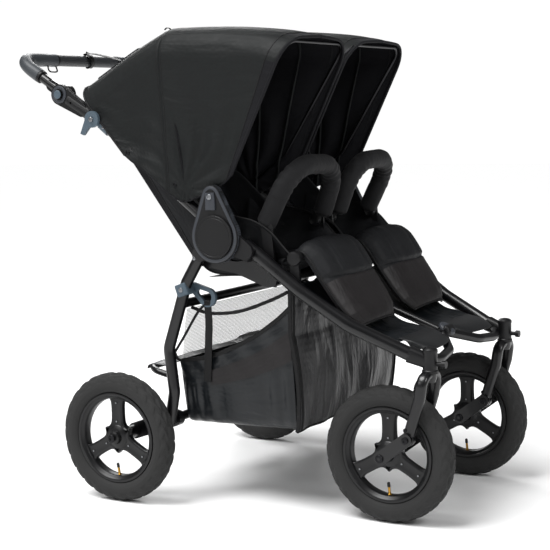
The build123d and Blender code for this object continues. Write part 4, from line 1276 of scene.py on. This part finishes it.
@dataclass
class Basket:
    """The under-seat basket: coated front, one sagging tub, net back, lip, band and straps."""

    floor: float = 184.0
    half: float = 270.0
    back: float = 108.0
    fore: float = -196.0
    rear_top: float = 345.0
    brim: list = field(default_factory=lambda: [(112, 341), (60, 349), (10, 362), (-50, 388), (-100, 414),
                                                (-150, 448), (-196, 486)])

    def wall_at(self, u: Array, v: Array, lift: float = 0.0) -> Array:
        """Points of the tub.

        Across, u runs from one brim down the side, round a quarter circle, over the floor and up the
        other side, so the section is a rounded trough. Along, v runs from back to front. The sides
        billow as a sine of their height, with upright folds as a sine of the place along, and the
        floor hangs as a parabola.

        Args:
            u: Place across, from minus one to one.
            v: Place along, from nought at the back to one at the front.
            lift: How far outside the cloth.

        Returns:
            The points, with the last axis X, Y, Z.
        """
        u, v = np.broadcast_arrays(np.asarray(u, float), np.asarray(v, float))
        line = smooth(self.brim, 120)
        y = self.back + (self.fore - self.back) * v
        top = np.interp(-y, -line[:, 0], line[:, 1])
        a, r = abs(u), 34.0
        bottom = self.floor + 6 * v - 5 * (1 - (a / 0.5) ** 2).clip(0, 1) * np.sin(np.pi * v)
        turn = np.clip((a - 0.45) / 0.15, 0, 1) * np.pi / 2
        up = np.clip((a - 0.60) / 0.40, 0, 1)
        wide = 256 + 14 * up ** 0.8
        x = np.where(a < 0.45, (256 - r) * a / 0.45, 256 - r + r * np.sin(turn)) + (wide - 256)
        z = np.where(a < 0.45, bottom, bottom + r * (1 - np.cos(turn)))
        z = z + (top - self.floor - 6 * v - r) * up
        billow = np.sin(np.pi * up.clip(0, 1)) * np.sin(np.pi * v) ** 0.5
        crease = np.sin(38 * v + 5 * np.sin(6 * v)) * np.exp(-((up - 0.25) / 0.28) ** 2)
        bunch = np.sin(30 * v + 9 * up) * np.exp(-((up - 0.85) / 0.2) ** 2)
        x = x + (a > 0.45) * (6 * billow + 2.6 * crease + 2.2 * bunch) + lift * (up > 0)
        return np.stack([np.sign(u) * x, y + 0 * x, z], axis=-1)

    def front(self) -> None:
        """The tall front wall, with slanting creases, its dark side strips and bound edges."""
        z = np.linspace(0, 1, 80)[:, None]
        x = np.linspace(-1, 1, 120)[None, :]
        wide = 256 + 16 * z ** 0.7
        y = (-196 - 16 * np.sin(np.pi * np.clip(z * 1.5, 0, 1)) ** 0.8 * (1 - 0.3 * z)
             + 5.0 * np.sin(7 * x + 3.4 * z) * np.sin(np.pi * z) ** 0.6
             + 3.0 * np.sin(15 * x - 7 * z) * (1 - z) + 2.0 * np.sin(27 * x + 9 * z) * z * (1 - x ** 2))
        grid = np.stack(np.broadcast_arrays(wide * x, y, 190 + 340 * z), axis=-1)
        piece = Shell("basket_front_wall").grid(grid).make(
            "chassis", [COATED], "coated_cloth", ("basket",), closed=False, wall=1.2, sharp=60)
        trim = Shell("basket_front_binding")
        for column in (0, -1):
            trim.grid(carried(evenly(grid[:, column], 60), ring(1.0, 16, 0.5) * [5.0, 3.0], (0, 1, 0)), ends=True)
            side = -1 if column == 0 else 1
            strip = np.stack([grid[:, column] + [0, 3, 0], grid[:, column] + [-side * 16.0, -4.5, 0]], axis=1)
            trim.grid(strip)
        trim.grid(carried(evenly(grid[0], 80), ring(3.0, 10), (0, 1, 0)), ends=True)
        trim.make("chassis", [WEBBING], "coated_cloth")

    def tub(self) -> None:
        """The trough of sides and floor, closed at the back by a wall of the same section."""
        u, v = np.linspace(-1, 1, 200)[None, :], np.linspace(0, 1, 90)[:, None]
        grid = self.wall_at(u, v)
        made = Shell("basket_tub").grid(grid, flip=True)
        rear = grid[0]
        t = np.linspace(0, 1, 12)[:, None, None]
        level = rear * [1, 1, 0] + [0, 0, self.rear_top]
        wall = rear[None] * (1 - t) + level[None] * t
        wall[..., 1] += 6 * np.sin(np.pi * t[..., 0])
        made.grid(wall)
        piece = made.make("chassis", [COATED_DARK, LINING], "coated_cloth", closed=False, wall=1.2, sharp=60)

    def trims(self) -> None:
        """Brim binding, dark elastic band, hanging straps and the cords under the seat."""
        for side in Side:
            s = side.value
            v = np.linspace(0, 1, 90)
            made = Shell(f"basket_straps_{side.word}")
            brim = self.wall_at(np.full(90, float(s)), v, 0.6)
            made.grid(carried(brim, ring(1.0, 14, 0.6) * [2.4, 5.0], (1, 0, 0)), ends=True)
            drop = smooth([(s * 285, 22, 492), (s * 284, 20, 440), (s * 282, 24, 390), (s * 279, 29, 340),
                           (s * 276, 34, 296)], 50)
            made.grid(carried(drop, ring(1.0, 16, 0.3) * [1.2, 10.0], (1, 0, 0)), ends=True)
            rod = smooth([(s * 280, 70, 474), (s * 278, 20, 462), (s * 274, -60, 470), (s * 271, -140, 498),
                          (s * 270, -188, 520)], 50)
            made.grid(carried(rod, ring(4.2, 12), (1, 0, 0)), ends=True)
            tie = smooth([(s * 284, 24, 488), (s * 283, 52, 462), (s * 282, 92, 404), (s * 281, 122, 362)], 30)
            made.grid(carried(tie, ring(3.2, 12), (1, 0, 0)), ends=True)
            rear = smooth([(s * 281, 122, 362), (s * 276, 118, 346), (s * 270, 110, 340)], 14)
            made.grid(carried(rear, ring(3.2, 12), (1, 0, 0.3)), ends=True)
            made.make("chassis", [WEBBING], "coated_cloth")
            u = np.linspace(0.795, 0.905, 8)[None, :] * s
            v = np.linspace(0.27, 0.99, 60)[:, None]
            u = u + s * 0.02 * (v - 0.27)
            band = Shell(f"basket_band_{side.word}").grid(self.wall_at(u, v, 2.6), flip=s > 0)
            band.make("chassis", [CALF], "coated_cloth", closed=False, wall=0.0, sharp=60)

    def rear(self) -> None:
        """The net back and the lip over the rear bar."""
        x = np.linspace(-1, 1, 60)[None, :]
        t = np.linspace(0, 1, 26)[:, None]
        grid = np.stack(np.broadcast_arrays(268 * x, 108 - 16 * t + 3 * np.sin(5 * x) * np.sin(np.pi * t),
                                            343 + 126 * t), axis=-1)
        piece = Shell("basket_net_back").grid(grid).make("chassis", [NET], "coated_cloth", closed=False, wall=0.0)
        line = smooth([(108, 341), (136, 333), (168, 326), (196, 326), (212, 322), (216, 312)], 36)
        x = np.linspace(-264, 264, 80)[None, :]
        wave = 2.5 * np.sin(x / 19) * np.sin(np.linspace(0, np.pi, 36))[:, None]
        grid = np.stack(np.broadcast_arrays(x, line[:, :1], line[:, 1:] + wave), axis=-1)
        piece = Shell("basket_rear_lip").grid(grid).make("rear_legs", [COATED_DARK], "coated_cloth", closed=False,
                                                         wall=1.2, sharp=60)

    def build(self) -> None:
        """Makes every panel."""
        for make in (self.front, self.tub, self.trims, self.rear):
            make()


# ------------------------------------------------------------------------------ handlebar


@dataclass
class Handlebar:
    """The grips, pitted wrap, accessory loops, wrist strap and pivot caps."""

    bar: tuple[float, float] = (574.0, 1080.0)
    half: float = 280.0

    def corner(self, side: Side, inner: float) -> Array:
        """The bar's own line round one corner, from the knuckle's side to the given X.

        Args:
            side: The side of the corner.
            inner: How far from the middle it ends.

        Returns:
            The line's points.
        """
        s = side.value
        part = 0.42
        low = (s * (288 - 8 * part), 436 + (self.bar[0] - 436) * part, 998 + (self.bar[1] - 998) * part)
        return bent([low, (s * self.half, *self.bar), (s * inner, *self.bar)], 62, 90)

    def grips(self) -> None:
        """Foam sleeves with rolled ends and a sewn seam underneath."""
        for side in Side:
            path = self.corner(side, 130)
            t = np.linspace(0, 1, 90)[:, None]
            a = np.linspace(0, 2 * np.pi, 33)[None, :]
            end = np.clip(1 - np.clip(abs(2 * t - 1) - 0.95, 0, 1) ** 2 * 180, 0.7, 1)
            seam = np.exp(-((a - 4.6) / 0.08) ** 2)
            radius = (17.0 + 0.35 * np.sin(20 * t)) * end - 0.8 * seam
            shape = np.stack([radius * np.cos(a), radius * np.sin(a)], axis=-1)
            sleeve = Shell(f"foam_grip_{side.word}").grid(carried(path, shape, (0.3, -0.6, 0.8)), ends=True)
            stands = ("hand_grips",) if side is Side.RIGHT else ()
            sleeve.make("handlebar", [FOAM], "grip_foam", stands)
            rings = Shell(f"grip_collars_{side.word}")
            for spot, way in ((path[0], path[0] - path[1]), (path[-1], path[-1] - path[-2])):
                collar = [(-3, 0), (-3, 16.6), (2.0, 16.6), (3.0, 15.4), (3.0, 0)]
                rings.grid(turned(collar, spot, tuple(way), 36))
            rings.make("handlebar", [NYLON], "moulded_black")

    def wrap(self) -> None:
        """The pitted middle sleeve, from two collars."""
        path = evenly(np.array([(-126, *self.bar), (126, *self.bar)], float), 60)
        Shell("pitted_wrap").grid(carried(path, ring(14.8, 37), (0, 0, 1)), ends=True).make(
            "handlebar", [PITTED], "moulded_black", ("bar_wrap",))

    def loops(self) -> None:
        """Two wire loops under the bar and the webbing wrist strap."""
        wire = Shell("accessory_loops")
        for x in (-150, 150):
            y, z = self.bar
            path = smooth([(x - 16, y - 4, z - 14), (x - 17, y - 8, z - 26), (x - 10, y - 10, z - 30),
                           (x + 10, y - 10, z - 30), (x + 17, y - 8, z - 26), (x + 16, y - 4, z - 14)], 44)
            wire.grid(carried(path, ring(2.0, 12), (0, 1, 0)), ends=True)
        wire.make("handlebar", [BLACK_STEEL], "pin_steel")
        y, z = self.bar
        strap = smooth([(30, y + 4, z + 17), (26, y + 18, z + 4), (22, y + 8, z - 16), (12, y - 14, z - 10),
                        (4, y - 18, z + 10), (-4, y - 4, z + 20), (-10, y - 40, z + 18), (-24, y - 100, z + 6),
                        (-44, y - 160, z - 8), (-60, y - 196, z - 22)], 150)
        ribbon = Shell("wrist_strap").grid(carried(strap, ring(1.0, 16, 0.3) * [9.5, 1.0], (1, 0.2, 0.1)), ends=True)
        ribbon.make("handlebar", [WEBBING], "seat_cloth", sharp=50)

    def pivots(self) -> None:
        """Round caps over the tilt buttons and the seam rings on the knuckles."""
        for side in Side:
            s = side.value
            cap = [(0, 0), (0, 10.5), (2.5, 10.5), (3.6, 9), (3.0, 4), (2.4, 0)]
            Shell(f"tilt_cap_{side.word}").grid(turned(cap, (s * 321.5, 416, 987), (s, 0, 0), 36)).make(
                f"tilt_button_{side.word}", [NYLON_SLATE], "moulded_black")
            rim = [(-1, 13), (-1, 21.5), (1.5, 21.5), (2.5, 20), (2.5, 14.5), (1.5, 13), (-1, 13)]
            Shell(f"knuckle_ring_{side.word}").grid(turned(rim, (s * 316, 416, 987), (s, 0, 0), 48)).make(
                "upright", [NYLON_CHARCOAL], "moulded_black")

    def build(self) -> None:
        """Makes every piece of the handle."""
        for make in (self.grips, self.wrap, self.loops, self.pivots):
            make()


# ------------------------------------------------------------------------------ studio


@dataclass
class Studio:
    """The camera, the pale floor and soft lamps."""

    place: tuple[float, float, float] = (-3.0065, -1.7408, 0.9238)
    target: tuple[float, float, float] = (0.0, 0.0006, 0.5229)
    roll: float = -1.32
    lens: float = 90.37

    def camera(self) -> None:
        """Places the camera and turns it to the target, with its roll."""
        data = bpy.data.cameras.new("studio_camera")
        data.lens, data.sensor_width, data.clip_end = self.lens, 36.0, 60.0
        data.dof.use_dof = False
        made = bpy.data.objects.new("studio_camera", data)
        bpy.context.scene.collection.objects.link(made)
        back = (Vector(self.place) - Vector(self.target)).normalized()
        right = Vector((0, 0, 1)).cross(back).normalized()
        up = back.cross(right)
        r = math.radians(self.roll)
        over, high = right * math.cos(r) + up * math.sin(r), up * math.cos(r) - right * math.sin(r)
        made.matrix_world = Matrix.Translation(self.place) @ Matrix((over, high, back)).transposed().to_4x4()
        bpy.context.scene.camera = made

    def lamp(self, name: str, place: tuple, size: float, power: float) -> None:
        """Adds a square soft lamp that faces the stroller's middle.

        Args:
            name: Its name.
            place: Where it stands, in metres.
            size: The length of its side, in metres.
            power: Its power in watts.
        """
        data = bpy.data.lights.new(name, "AREA")
        data.shape, data.size, data.energy = "SQUARE", size, power
        made = bpy.data.objects.new(name, data)
        bpy.context.scene.collection.objects.link(made)
        made.location = place
        made.rotation_euler = (Vector(place) - Vector((0, 0, 0.5))).to_track_quat("Z", "Y").to_euler()

    def floor(self) -> None:
        """Lays the floor, 40 m across, a little below the tyres."""
        mesh = bpy.data.meshes.new("floor")
        mesh.from_pydata([(-20, -20, 0), (20, -20, 0), (20, 20, 0), (-20, 20, 0)], [], [(0, 1, 2, 3)])
        made = bpy.data.objects.new("floor", mesh)
        bpy.context.scene.collection.objects.link(made)
        paint = Finish("painted_studio_floor", "f4f4f4", "f8f8f8", rough=0.6, grain_depth=0.0, specular=0.2)
        mesh.materials.append(paint.material())

    def build(self) -> None:
        """Sets the whole studio up."""
        self.camera()
        self.floor()
        self.lamp("key", (-1.2, -3.4, 3.0), 1.6, 70)
        self.lamp("fill", (-3.6, 1.6, 2.4), 1.4, 30)
        self.lamp("rim", (2.4, 2.4, 2.6), 1.6, 60)
        self.sky()

    def sky(self) -> None:
        """A broad overhead softbox, as a sun with a wide disc, and white air that lights gently."""
        data = bpy.data.lights.new("overhead", "SUN")
        data.energy, data.angle = 3.6, math.radians(34)
        made = bpy.data.objects.new("overhead", data)
        bpy.context.scene.collection.objects.link(made)
        made.rotation_euler = (math.radians(-16), math.radians(-20), 0)
        world = bpy.data.worlds.new("studio_air")
        world.use_nodes = True
        tree = world.node_tree
        tree.nodes.clear()
        seen = add(tree, "ShaderNodeLightPath")
        soft = add(tree, "ShaderNodeBackground", {"Color": (1, 1, 1, 1), "Strength": 0.16})
        white = add(tree, "ShaderNodeBackground", {"Color": (1, 1, 1, 1), "Strength": 1.02})
        mix = add(tree, "ShaderNodeMixShader", {0: seen.outputs["Is Camera Ray"], 1: soft.outputs[0],
                                                2: white.outputs[0]})
        add(tree, "ShaderNodeOutputWorld", {"Surface": mix.outputs[0]})
        bpy.context.scene.world = world
        bpy.context.scene.view_settings.view_transform = "Standard"


def main() -> None:
    """Builds the studio, then each sub-assembly in order."""
    logging.basicConfig(level=logging.INFO, format="%(name)s %(message)s")
    Studio().build()
    FrameWork().build()
    for side in Side:
        word, s = side.word, side.value
        Wheel(f"front_wheel_{word}", f"front_tyre_{word}", f"front_rim_{word}", s * 232.0, -424.0, -1).build()
        Wheel(f"rear_wheel_{word}", f"rear_tyre_{word}", f"rear_rim_{word}", s * 349.0, 247.0, -1).build()
        Canopy(side).build()
        Seat(side).build()
    Basket().build()
    Handlebar().build()


if __name__ == "__main__":
    main()
